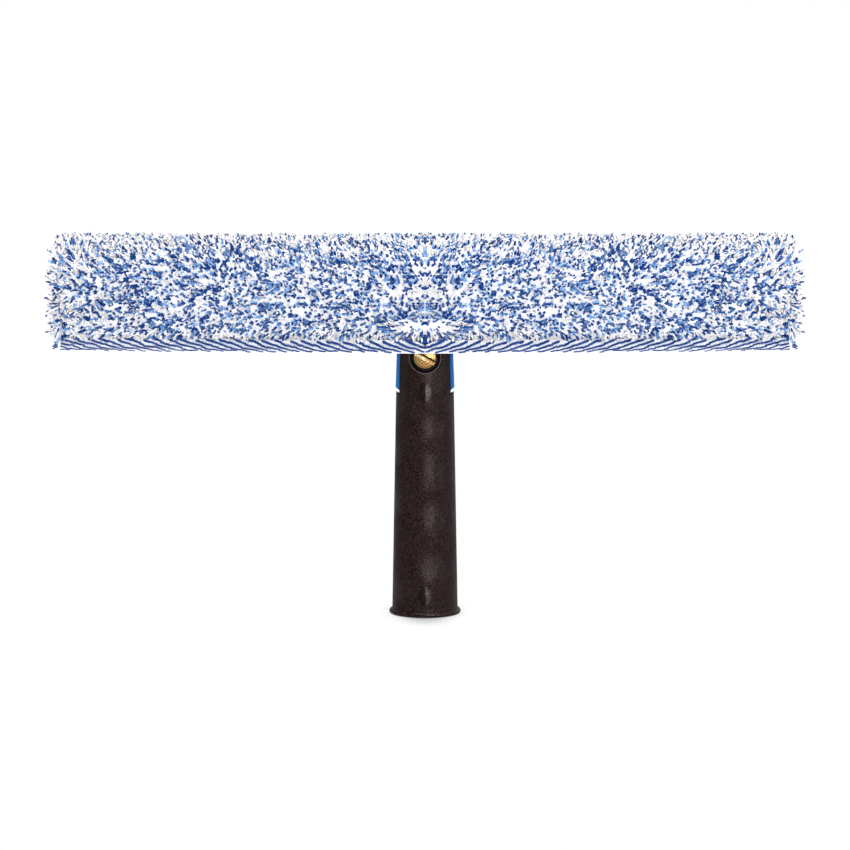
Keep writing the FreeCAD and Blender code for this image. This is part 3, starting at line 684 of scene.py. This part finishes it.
def cover_tufts():
    """Tufts of the left half of the cover. Those near a blue yarn are blue and their tips draw together, and
    the white ones lean off it."""
    x, s = cover_places()
    count = x.size
    root, normal = on_section(s, PILE_DEPTH)
    up = np.where(s < GIRTH / 2, 1.0, -1.0)
    level = np.minimum(s, GIRTH - s)
    at_lip = np.clip(level / LIP_ZONE, 0, 1)
    to_end = np.clip((-x - (COVER_END - END_ZONE)) / END_ZONE, 0, 1)
    in_fan, spread = lip_fan(x, s, level)
    turn, tilt = combing(x, s, level, to_end, in_fan, spread)
    rise = PILE_DEPTH * dice.normal(0.94, 0.05, count)
    rise *= LIP_TUFT_SHARE + (1 - LIP_TUFT_SHARE) * at_lip
    out = np.minimum(rise * np.tan(tilt), LONGEST_TUFT)
    out *= LIP_LEAN_SHARE + (1 - LIP_LEAN_SHARE) * np.maximum(at_lip, in_fan)
    droop = dice.uniform(0, LIP_DROOP, count) * (1 - at_lip) * (1 + 0.6 * waves(x, 0 * s, DROOP_WAVE))

    along_bar = np.tile([1.0, 0.0, 0.0], (count, 1))
    round_bar = np.stack([np.zeros(count), normal[:, 1], -normal[:, 0]], -1)
    reach = COVER_END + dice.uniform(SHORTEST_FRINGE, LONGEST_FRINGE, count)
    lean_x = np.maximum(np.cos(turn) * out, -reach - x)
    lean_s = np.maximum(np.sin(turn) * out - droop, -level - LIP_OVERHANG) * up
    lean = lean_x[:, None] * along_bar + lean_s[:, None] * round_bar
    to_yarn, fleck = nearest_yarn(x, s)
    blue = blue_tufts(x, level, at_lip, to_end, in_fan, to_yarn, fleck)
    rise = np.where(blue, rise * BLUE_RISE, rise)
    draw = np.where(blue, BLUE_DRAW, WHITE_DRAW)[:, None]
    gather = draw * (to_yarn[:, :1] * along_bar + to_yarn[:, 1:] * round_bar)
    tip_x = x + lean_x + draw[:, 0] * to_yarn[:, 0]
    tip_s = s + lean_s + draw[:, 0] * to_yarn[:, 1]
    combed = {
        "root": np.concatenate([x[:, None], root], -1),
        "normal": np.concatenate([np.zeros((count, 1)), normal], -1),
        "lean": lean,
        "gather": gather,
        "rise": rise,
        "radius": TUFT_RADIUS * dice.uniform(*RADIUS_SHARES, count) * (1 - FAN_THINNING * in_fan),
        "tint": dice.uniform(0, 1, count) ** 3.0,
        "blue": blue,
        "s": s,
    }
    upright = filling_tufts(tip_x, tip_s)
    return {key: np.concatenate([combed[key], upright[key]]) for key in combed}


def filling_tufts(tip_x, tip_s):
    """Short upright white tufts, three to each square of the left half of the cover that no combed tip falls
    in."""
    columns, rows = int(COVER_END / BALD_SPOT), int(GIRTH / BALD_SPOT)
    edges = ((0, columns * BALD_SPOT), (0, rows * BALD_SPOT))
    tips = np.histogram2d(-tip_x, tip_s, (columns, rows), edges)[0]
    place = np.repeat(np.argwhere(tips == 0), 3, axis=0)
    count = len(place)
    x, s = ((place + dice.uniform(0, 1, place.shape)) * BALD_SPOT).T
    root, normal = on_section(s, PILE_DEPTH)
    normal = np.concatenate([np.zeros((count, 1)), normal], -1)
    rise = PILE_DEPTH * dice.normal(0.9, 0.06, count)
    return {
        "root": np.concatenate([-x[:, None], root], -1),
        "normal": normal,
        "lean": dice.normal(0, 0.25, (count, 3)) * rise[:, None],
        "gather": np.zeros((count, 3)),
        "rise": rise,
        "radius": TUFT_RADIUS * dice.uniform(*RADIUS_SHARES, count),
        "tint": dice.uniform(0, 1, count) ** 2.0,
        "blue": np.zeros(count, bool),
        "s": s,
    }


def nearest_yarn(across, up):
    """The blue yarn nearest to each tuft, among the jittered grid points in the nine cells round it. Gives
    the way to the yarn and the radius of its fleck."""
    cells = 512
    shift = dice.uniform(0.2, 0.8, (cells, cells, 2))
    size = FLECK_RADIUS * dice.uniform(0.5, 1.5, (cells, cells))
    step = np.array([(i, j) for i in (-1, 0, 1) for j in (-1, 0, 1)])
    place = np.stack([across, up], -1)
    near = np.floor(place / YARN_PITCH).astype(int)[:, None] + step
    column, row = near[..., 0] % cells, near[..., 1] % cells
    way = (near + shift[column, row]) * YARN_PITCH - place[:, None]
    nearest = (way**2).sum(-1).argmin(1)
    every = np.arange(len(place))
    return way[every, nearest], size[column, row][every, nearest]


def end_tufts():
    """Tufts of the left end panel, on a jittered grid of y and z inside the sleeve's outline. They stand out
    of the crowned end, square to its rounded edge."""
    pitch = TUFT_PITCH * END_PITCH_SHARE
    span_y, span_z = np.arange(-HALF_DEPTH, HALF_DEPTH, pitch), np.arange(LIP_BOTTOM, SLEEVE_TOP, pitch)
    y, z = (grid.ravel() for grid in np.meshgrid(span_y, span_z))
    y = y + jitter(y.size) * pitch
    z = z + jitter(z.size) * pitch
    inside = within(y, z, SECTION[::4])
    y, z = y[inside], z[inside]
    count = y.size
    between_lips = np.linspace(SECTION[-1, 0], SECTION[0, 0], 60)
    underside = np.stack([between_lips, np.full(60, LIP_BOTTOM)], -1)
    apart = np.concatenate([SECTION, underside]) - np.stack([y, z], -1)[:, None]
    nearest = (apart**2).sum(-1).argmin(1)
    to_rim = apart[np.arange(count), nearest]
    edge = np.linalg.norm(to_rim, axis=-1, keepdims=True)
    sine = np.clip(1 - edge / END_ROUND, 0, 0.98)
    cosine = np.sqrt(1 - sine**2)
    normal = np.concatenate([-cosine, to_rim / np.maximum(edge, 1e-6) * sine], -1)
    skin = np.stack([-(SLEEVE_END - END_INSET - END_ROUND * (1 - cosine[:, 0])), y, z], -1)
    rise = PILE_DEPTH * dice.normal(0.97, 0.06, count)
    lean = dice.normal(0, 0.2, (count, 3)) * rise[:, None]
    to_yarn, fleck = nearest_yarn(y, z)
    return {
        "root": skin - normal * PILE_DEPTH,
        "normal": normal,
        "lean": lean,
        "gather": np.zeros((count, 3)),
        "rise": rise,
        "radius": TUFT_RADIUS * dice.uniform(*RADIUS_SHARES, count),
        "tint": dice.uniform(0, 1, count) ** 2.5,
        "blue": np.linalg.norm(to_yarn, axis=-1) < END_FLECK_SHARE * fleck,
        "s": z,
    }


def within(y, z, outline):
    """True for the points inside the closed outline: a level ray from each crosses it an odd number of
    times."""
    y0, z0 = outline[:, 0], outline[:, 1]
    y1, z1 = np.roll(y0, -1), np.roll(z0, -1)
    spans = (z0 > z[:, None]) != (z1 > z[:, None])
    level = np.where(spans, z1 - z0, 1)
    crossing = y0 + (z[:, None] - z0) * (y1 - y0) / level
    return (spans & (crossing > y[:, None])).sum(1) % 2 == 1


def mirrored(tufts):
    """The same tufts on the right half of the sleeve, which was cut to match the left."""
    flip = np.array([-1.0, 1.0, 1.0])
    turned = {key: tufts[key] * flip for key in ("root", "normal", "lean", "gather")}
    return {**tufts, **turned}


def make_pile(white, blue):
    """All the tufts, as pieces by side, colour and region."""
    cover, ends = cover_tufts(), end_tufts()
    front, rear = cover["s"] < GIRTH * FRONT_SHARE, cover["s"] > GIRTH * REAR_SHARE
    regions = {"front": front, "rear": rear, "top": ~front & ~rear}
    for side, way in (("left", lambda tufts: tufts), ("right", mirrored)):
        tufts, caps = way(cover), way(ends)
        for region, part in regions.items():
            tuft_piece(f"pile_white_{region}_{side}", tufts, part & ~cover["blue"], white)
            tuft_piece(f"pile_blue_{region}_{side}", tufts, part & cover["blue"], blue)
        tuft_piece(f"pile_white_end_{side}", caps, ~ends["blue"], white, END_SKIN_SHARE)
        tuft_piece(f"pile_blue_end_{side}", caps, ends["blue"], blue, END_SKIN_SHARE)


def carried(profiles):
    """A closed skin through closed profiles (station, corner, xyz), with a flat face on each end."""
    stations, corners = profiles.shape[:2]
    corner = np.arange(corners)
    low = np.arange(stations - 1)[:, None] * corners
    after = (corner + 1) % corners
    wall = np.stack([low + corner, low + after, low + corners + after, low + corners + corner], -1)
    ends = [corner[::-1].tolist(), ((stations - 1) * corners + corner).tolist()]
    return profiles.reshape(-1, 3), wall.reshape(-1, 4).tolist() + ends


def make_backing(material):
    """The backing cloth that the tufts are knitted into: the section moved in by the cloth's depth, further
    at the lips where the tufts are short, then back along the cloth's inner side, carried along the bar."""
    s = np.linspace(0, GIRTH, 240)
    at_lip = np.clip(np.minimum(s, GIRTH - s) / LIP_ZONE, 0, 1)
    outer, normal = on_section(s, (CLOTH_DEPTH + LIP_RECESS * (1 - at_lip))[:, None])
    inner, normal = on_section(s, CLOTH_BACK)
    loop = np.concatenate([outer, inner[::-1]])[::-1]
    x = np.linspace(-COVER_END, COVER_END, 60)
    y, z = loop.T
    profiles = np.stack(np.broadcast_arrays(x[:, None], y[None, :], z[None, :]), -1)
    points, faces = carried(profiles)
    piece = new_piece("sleeve_backing", points, faces, material)
    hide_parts("sleeve_cover")


def make_end_panel(side, sign, material):
    """A crowned end panel under the pile: rings of the closed section that shrink as they move out, along a
    quarter of an ellipse."""
    ring = np.concatenate([SECTION[::4], [[HALF_DEPTH / 2, LIP_BOTTOM], [-HALF_DEPTH / 2, LIP_BOTTOM]]])
    middle = np.array([0.0, (LIP_BOTTOM + SLEEVE_TOP) / 2])
    turn = np.linspace(0, math.pi / 2, 9)
    shrink = 0.9 - 0.16 * (1 - np.cos(turn))
    face = SLEEVE_END - END_INSET - CLOTH_DEPTH
    x = COVER_END - CLOTH_DEPTH + (face - COVER_END + CLOTH_DEPTH) * np.sin(turn)
    loops = middle + (ring - middle) * shrink[:, None, None]
    profiles = np.concatenate([np.broadcast_to(sign * x[:, None, None], (*loops.shape[:2], 1)), loops], -1)
    points, faces = carried(profiles[:: int(-sign)])
    piece = new_piece(f"end_panel_{side}", points, faces, material)
    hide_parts(f"sleeve_end_{side}")


# Sizes of the hems, of their twill and loose ends, and of the tapes.
HEM_LOW, HEM_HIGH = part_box("front_hem_band")
HEM_FACE = -HEM_LOW.y
HEM_REACH = HEM_HIGH.x + 1.7 * MM
HEM_DROP = 0.6 * MM
HEM_SAG = 1.0 * MM
HEM_OVERLAP = 0.6 * MM
HEM_END_OVERLAP = 2.0 * MM
HEM_PUCKER = 0.5 * MM
FINE_PUCKER = 1.3 * MM
SLOW_PUCKER = 4.7 * MM
TWILL_PITCH = 6.0 * MM
TWILL_SLOPE = 0.42
END_SLOPE_LOSS = 0.12
TWILL_WAVER = 0.3 * MM
FLOATS_IN_A_LINE = 24
FLOAT_STEP = 1.4 * MM
FLOAT_LENGTH = 2.8 * MM
FLOAT_RADIUS = 1.0 * MM
FLOAT_SINK = 0.25 * MM
WHITE_FLOAT_SINK = 0.1 * MM
FLOAT_TOP_MARGIN = 0.3 * MM
FLOAT_JITTER = 0.12 * MM
FLOAT_LIFT_JITTER = 0.08 * MM
ROLL_HEIGHTS = 1.4
LAST_ROLL = 1.28
LOOSE_ENDS = 5
LOOSE_END_RADIUS = 0.65 * MM
LOOSE_END_LENGTHS = (1.6 * MM, 3.0 * MM)
LOOSE_END_HEIGHTS = (2.0 * MM, 4.5 * MM)
LOOSE_END_DEPTHS = (0.6 * MM, 1.4 * MM)
LOOSE_END_DROOP = 6 * MM
TAPE_RIPPLE = 0.06 * MM
RIPPLE_PITCH = 3.2 * MM


def hem_bottom(x):
    """The hem's lower edge, which hangs lowest at the middle."""
    return HEM_LOW.z - HEM_DROP + HEM_SAG * (x / HEM_REACH) ** 2


def hem_top(x):
    """The hem's upper edge, a little uneven, behind the pile of the lip, which hangs lower over it at the
    middle."""
    uneven = HEM_PUCKER * np.sin(x / FINE_PUCKER) * np.sin(x / SLOW_PUCKER)
    return LIP_BOTTOM + HEM_OVERLAP + (HEM_END_OVERLAP - HEM_OVERLAP) * (x / HEM_REACH) ** 2 + uneven


def make_hem(side, sign, cloth, white, blue):
    """A folded hem: a rounded strip carried along the bar, and over it slanting lines of blue and white
    floats, the stair steps of a twill weave."""
    x = np.linspace(-HEM_REACH, HEM_REACH, 480)
    angle = np.linspace(0, 2 * math.pi, 24, endpoint=False)
    depth = (HEM_FACE - SLEEVE_INNER) / 2
    middle_y = sign * (SLEEVE_INNER + depth)
    low, top = hem_bottom(x), hem_top(x)
    y = middle_y + depth * rounded(np.cos(angle), 0.5)
    z = (top + low)[:, None] / 2 + (top - low)[:, None] / 2 * rounded(np.sin(angle), 0.5)
    profiles = np.stack(np.broadcast_arrays(x[:, None], y[None, :], z), -1)
    points, faces = carried(profiles)
    piece = new_piece(f"{side}_hem_cloth", points, faces, cloth)
    lean_to_face(piece, sign)
    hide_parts(f"{side}_hem_band")
    floats = [
        make_floats(f"{side}_hem_{colour}_floats", sign, offset, material)
        for colour, offset, material in (("blue", 0.0, blue), ("white", 0.5, white))
    ]
    floats.append(make_loose_ends(f"{side}_hem_loose_ends", sign, blue))


def lean_to_face(piece, sign):
    """Leans the shading normals of a hem's cloth towards its face, where its edges roll under, as light that
    soaks through thin cloth does."""
    own = np.empty(len(piece.data.vertices) * 3, np.float32)
    piece.data.vertex_normals.foreach_get("vector", own)
    own = own.reshape(-1, 3)
    shade(piece, own + np.clip(own[:, 1:2] * sign + 0.6, 0, 1.5) * np.array([0.0, sign, 0.0]))


def twill_slope(to_end):
    """How steeply the twill runs down, less towards the ends of the hem."""
    return TWILL_SLOPE - END_SLOPE_LOSS * to_end


def twill_places(offset):
    """Places of the floats on the left half of a hem's face, how far each is towards the end, and how far
    the cloth has rolled under there, as an angle.

    Line n of the twill starts at x = n * pitch on the top edge, and each float steps down along its slope,
    which is less towards the ends of the hem and runs out as a sine where the hem rolls under."""
    lines = np.arange(-int(HEM_REACH / TWILL_PITCH) - 7, 3) + offset
    steps = np.arange(FLOATS_IN_A_LINE)
    line, step = (grid.ravel() for grid in np.meshgrid(lines, steps))
    top = LIP_BOTTOM + HEM_END_OVERLAP
    waver = TWILL_WAVER * np.sin(0.9 * step + 2.4 * line) * np.sin(1.7 * line)
    x = line * TWILL_PITCH + step * FLOAT_STEP + dice.normal(0, FLOAT_JITTER, line.size)
    to_end = np.clip(-x / HEM_REACH, 0, 1)
    height = top - hem_bottom(x) - 0.5 * FLOAT_RADIUS
    roll = np.clip(step * FLOAT_STEP * twill_slope(to_end) / (ROLL_HEIGHTS * height), 0, 1) * math.pi / 2
    z = top - height * np.sin(roll) + waver + dice.normal(0, FLOAT_LIFT_JITTER, line.size)
    inside = (z > hem_bottom(x) + FLOAT_RADIUS * 0.5) & (z < hem_top(x) - FLOAT_TOP_MARGIN)
    on_hem = inside & (roll < LAST_ROLL)
    margin = FLOAT_LENGTH * dice.uniform(0.4, 1.0, line.size)
    keep = on_hem & (x < 0) & (x > -HEM_REACH + margin)
    return x[keep], z[keep], to_end[keep], roll[keep]


def make_floats(name, sign, offset, material):
    """Short yarn floats on the face of a hem, each a little bowed, thinner towards the ends of the hem and
    where it rolls under. The right half mirrors the left."""
    x, z, to_end, roll = twill_places(offset)
    slope = (twill_slope(to_end) * np.cos(roll))[:, None]
    t = np.array([-0.5, -0.25, 0.25, 0.5])
    bow = np.array([-0.5, 0.2, 0.2, -0.5]) * FLOAT_RADIUS - FLOAT_SINK
    px = x[:, None] + t * FLOAT_LENGTH
    pz = z[:, None] - t * FLOAT_LENGTH * slope
    py = np.broadcast_to(sign * (HEM_FACE + bow - 2 * offset * WHITE_FLOAT_SINK), px.shape)
    left = np.stack([px, py, pz], -1)
    paths = np.concatenate([left, left * (-1, 1, 1)])
    thick = FLOAT_RADIUS * (1.18 - 0.5 * offset) * (1 - 0.3 * to_end)
    thick = thick * np.maximum(np.cos(roll), 0.6 - 0.25 * to_end)
    radii = np.tile(thick, 2)[:, None] * np.array([0.45, 1, 1, 0.45])
    side = np.tile([0.0, 1.0, 0.0], (len(paths), 1))
    points, quads, outward = tubes(paths, radii, side)
    attributes = {
        "along": np.full(len(points), 0.9),
        "tint": np.repeat(dice.uniform(0, 0.12, len(paths)) + offset, 16),
    }
    piece = new_piece(name, points, quads, material, attributes)
    shade(piece, 0.6 * np.array([0.0, sign, 0.0]) + 0.4 * outward)
    return piece


def make_loose_ends(name, sign, material):
    """Blue yarns that stand out of the cut ends of a hem and droop by the square of the way out."""
    each = (LOOSE_ENDS, 1)
    out = dice.uniform(*LOOSE_END_LENGTHS, each) * np.linspace(-0.4, 1, 4)
    x = -HEM_REACH - out
    y = np.broadcast_to(sign * (HEM_FACE - dice.uniform(*LOOSE_END_DEPTHS, each)), x.shape)
    z = hem_bottom(HEM_REACH) + dice.uniform(*LOOSE_END_HEIGHTS, each) - out * np.abs(out) / LOOSE_END_DROOP
    left = np.stack([x, y, z], -1)
    paths = np.concatenate([left, left * (-1, 1, 1)])
    radii = np.full((len(paths), 1), LOOSE_END_RADIUS) * np.array([0.8, 1, 1, 0.6])
    side = np.tile([0.0, 1.0, 0.0], (len(paths), 1))
    points, quads, outward = tubes(paths, radii, side)
    attributes = {"along": np.full(len(points), 0.9), "tint": np.full(len(points), 0.08)}
    return new_piece(name, points, quads, material, attributes)


def make_tape(node, material):
    """A closure tape: a flat strip with rounded edges and a faint ripple, carried along the bar."""
    low, high = (np.array(corner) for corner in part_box(node))
    x = np.linspace(low[0], high[0], 90)
    angle = np.linspace(0, 2 * math.pi, 28, endpoint=False)
    middle, half = (low + high) / 2, (high - low) / 2
    y = middle[1] + half[1] * rounded(np.cos(angle), 0.3)
    ripple = TAPE_RIPPLE * np.sin(x * 2 * math.pi / RIPPLE_PITCH)[:, None] * np.sin(angle)
    z = middle[2] + (half[2] - TAPE_RIPPLE) * rounded(np.sin(angle), 0.3) + ripple
    profiles = np.stack(np.broadcast_arrays(x[:, None], y[None, :], z), -1)
    points, faces = carried(profiles)
    piece = new_piece(f"{node}_strip", points, faces, material)
    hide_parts(node)


def dress_solids():
    """Finishes for the solids that keep their shapes."""
    brass, aluminium, plug = turned_brass(), drawn_aluminium(), plug_plastic()
    put_on("handle_shell", grip_plastic())
    put_on("pivot_screw", brass)
    put_on("pivot_nut", brass)
    put_on("pivot_washer", dark_spring_steel())
    put_on("swivel_yoke", yoke_plastic())
    put_on("bar_tube", aluminium)
    put_on("yoke_rivets", aluminium)
    put_on("end_plug_left", plug)
    put_on("end_plug_right", plug)


def make_sleeve():
    """The cloth, pile, hems and tapes of the sleeve, which stand in for its plain solids."""
    white = yarn("white_yarn", WHITE_ROOT_SHADE, WHITE_YARN, PALE_YARN, soak=0.9)
    blue = yarn("blue_yarn", BLUE_ROOT, BLUE_YARN, FADED_YARN, soak=0.3)
    cloth = backing_cloth("sleeve_backing_cloth", *CLOTH_COLOURS)
    tape = backing_cloth("closure_tape_nylon", *TAPE_COLOURS)
    make_backing(cloth)
    for side, sign in (("left", -1), ("right", 1)):
        make_end_panel(side, sign, cloth)
    make_pile(white, blue)
    for side, sign in (("front", -1), ("rear", 1)):
        make_hem(side, sign, cloth, white, blue)
    for side in ("left", "right"):
        make_tape(f"loop_tape_{side}", tape)
        make_tape(f"hook_tape_{side}", tape)


# The view of the photograph: its frame is square and the object is centred in it.
FRAME_WIDTH = 0.3946
CAMERA_DISTANCE = 1.5
CAMERA_HEIGHT = 0.237
AIM_HEIGHT = 0.0881
SENSOR = 36.0
WORLD_LIGHT = 0.76
LEFT_LIGHT = 0.9
# The size of the soft shadow painted grey on the floor at the foot.
SHADOW_WIDTH = 17.5 * MM
SHADOW_DEPTH = 47 * MM


def make_camera():
    """The camera, level across and tipped down at the middle of the object."""
    data = bpy.data.cameras.new("camera")
    data.sensor_width = SENSOR
    rise = CAMERA_HEIGHT - AIM_HEIGHT
    data.lens = SENSOR * math.hypot(CAMERA_DISTANCE, rise) / FRAME_WIDTH
    camera = bpy.data.objects.new("camera", data)
    camera.location = (0, -CAMERA_DISTANCE, CAMERA_HEIGHT)
    camera.rotation_euler = (math.pi / 2 - math.atan2(rise, CAMERA_DISTANCE), 0, 0)
    bpy.context.scene.collection.objects.link(camera)
    bpy.context.scene.camera = camera


def make_lamp(name, place, aim, width, height, power):
    """A softbox at a place, turned at the height aim over the foot of the grip."""
    data = bpy.data.lights.new(name, "AREA")
    data.shape = "RECTANGLE"
    data.size = width
    data.size_y = height
    data.energy = power
    lamp = bpy.data.objects.new(name, data)
    lamp.location = place
    towards = lamp.location - type(lamp.location)((0, 0, aim))
    lamp.rotation_euler = towards.to_track_quat("Z", "Y").to_euler()
    bpy.context.scene.collection.objects.link(lamp)
    return lamp


def make_world():
    """Even pale light from all round, more of it from the left. The camera sees it white, and so do
    reflections of the side behind the object. Reflections of the camera's side see a room that is brighter
    above."""
    shader = Shader(bpy.data.worlds.new("studio"))
    bpy.context.scene.world = shader.owner
    x, y, z = shader.split(shader.node("ShaderNodeTexCoord", output="Generated"))
    camera, glossy, through = (shader.ray(kind) for kind in ("Camera", "Glossy", "Transmission"))
    behind = shader.node("ShaderNodeMapRange", Value=y, From_Min=0.1, From_Max=0.6)
    higher, righter = {"To_Min": 0.03, "To_Max": 0.3}, {"To_Min": 0.05, "To_Max": 0.5}
    above = shader.node("ShaderNodeMapRange", Value=z + x * 0.3, From_Min=-0.3, From_Max=0.7, **higher)
    right = shader.node("ShaderNodeMapRange", Value=x, From_Min=-0.6, From_Max=0.6, **righter)
    mirrored_room = above + (1.0 - above) * behind * right
    seen = shader.math("MAXIMUM", camera, through)
    left = shader.node("ShaderNodeMapRange", Value=x, From_Min=-0.3, From_Max=-1.0)
    soft_light = WORLD_LIGHT + left * LEFT_LIGHT
    strength = soft_light + glossy * (mirrored_room - soft_light)
    strength = strength + seen * (1.0 - strength)
    light = shader.node("ShaderNodeBackground", Color=(1, 1, 1, 1), Strength=strength)
    shader.node("ShaderNodeOutputWorld", Surface=light)


def make_floor():
    """A white floor, with a soft shadow painted grey at the foot over its real shading, that turns into the
    white of the backdrop around it."""
    shader = new_finish("studio_floor")
    x, y, z = shader.split(shader.place())
    across, ahead = x / SHADOW_WIDTH, y / SHADOW_DEPTH
    away = shader.math("SQRT", across * across + ahead * ahead)
    settings = {"interpolation_type": "SMOOTHSTEP"}
    fade = shader.node("ShaderNodeMapRange", settings, Value=away, From_Min=0.2, From_Max=1.35)
    camera, glossy, through = (shader.ray(kind) for kind in ("Camera", "Glossy", "Transmission"))
    seen = shader.math("MAXIMUM", shader.math("MAXIMUM", camera, glossy), through)
    # The grey near the foot is a painted shadow, over the floor's real shading there.
    colour = shader.blend(fade, (0.42, 0.42, 0.43, 1), (0.92, 0.92, 0.92, 1))
    matt = shader.node("ShaderNodeBsdfDiffuse", Color=colour)
    white = shader.node("ShaderNodeEmission", Color=(1, 1, 1, 1), Strength=1.0 - 0.6 * glossy)
    mixed = shader.node("ShaderNodeMixShader", Fac=fade * seen, socket_1=matt, socket_2=white)
    shader.node("ShaderNodeOutputMaterial", Surface=mixed)
    half = 3.0
    corners = np.array([[-half, -half, 0], [half, -half, 0], [half, half, 0], [-half, half, 0]])
    mesh = bpy.data.meshes.new("floor")
    mesh.from_pydata(corners, [], [(0, 1, 2, 3)])
    mesh.materials.append(shader.owner)
    floor = bpy.data.objects.new("floor", mesh)
    bpy.context.scene.collection.objects.link(floor)


def make_studio():
    """The camera, floor and light. The fill lamp is left out of reflections, which would streak the grip."""
    make_camera()
    make_world()
    make_floor()
    make_lamp("key", place=(0.42, -1.42, 0.34), aim=0.1, width=0.2, height=0.25, power=9.6)
    fill = make_lamp("fill", place=(-0.75, -1.3, 0.1), aim=0.12, width=0.4, height=0.4, power=5.0)
    fill.visible_glossy = False
    make_lamp("side", place=(1.2, -0.6, 0.5), aim=0.1, width=0.4, height=0.8, power=3)
    make_lamp("top", place=(0, -0.25, 1.2), aim=0.15, width=0.7, height=0.4, power=5.6)
    bpy.context.scene.view_settings.view_transform = "Standard"


dress_solids()
make_sleeve()
make_studio()
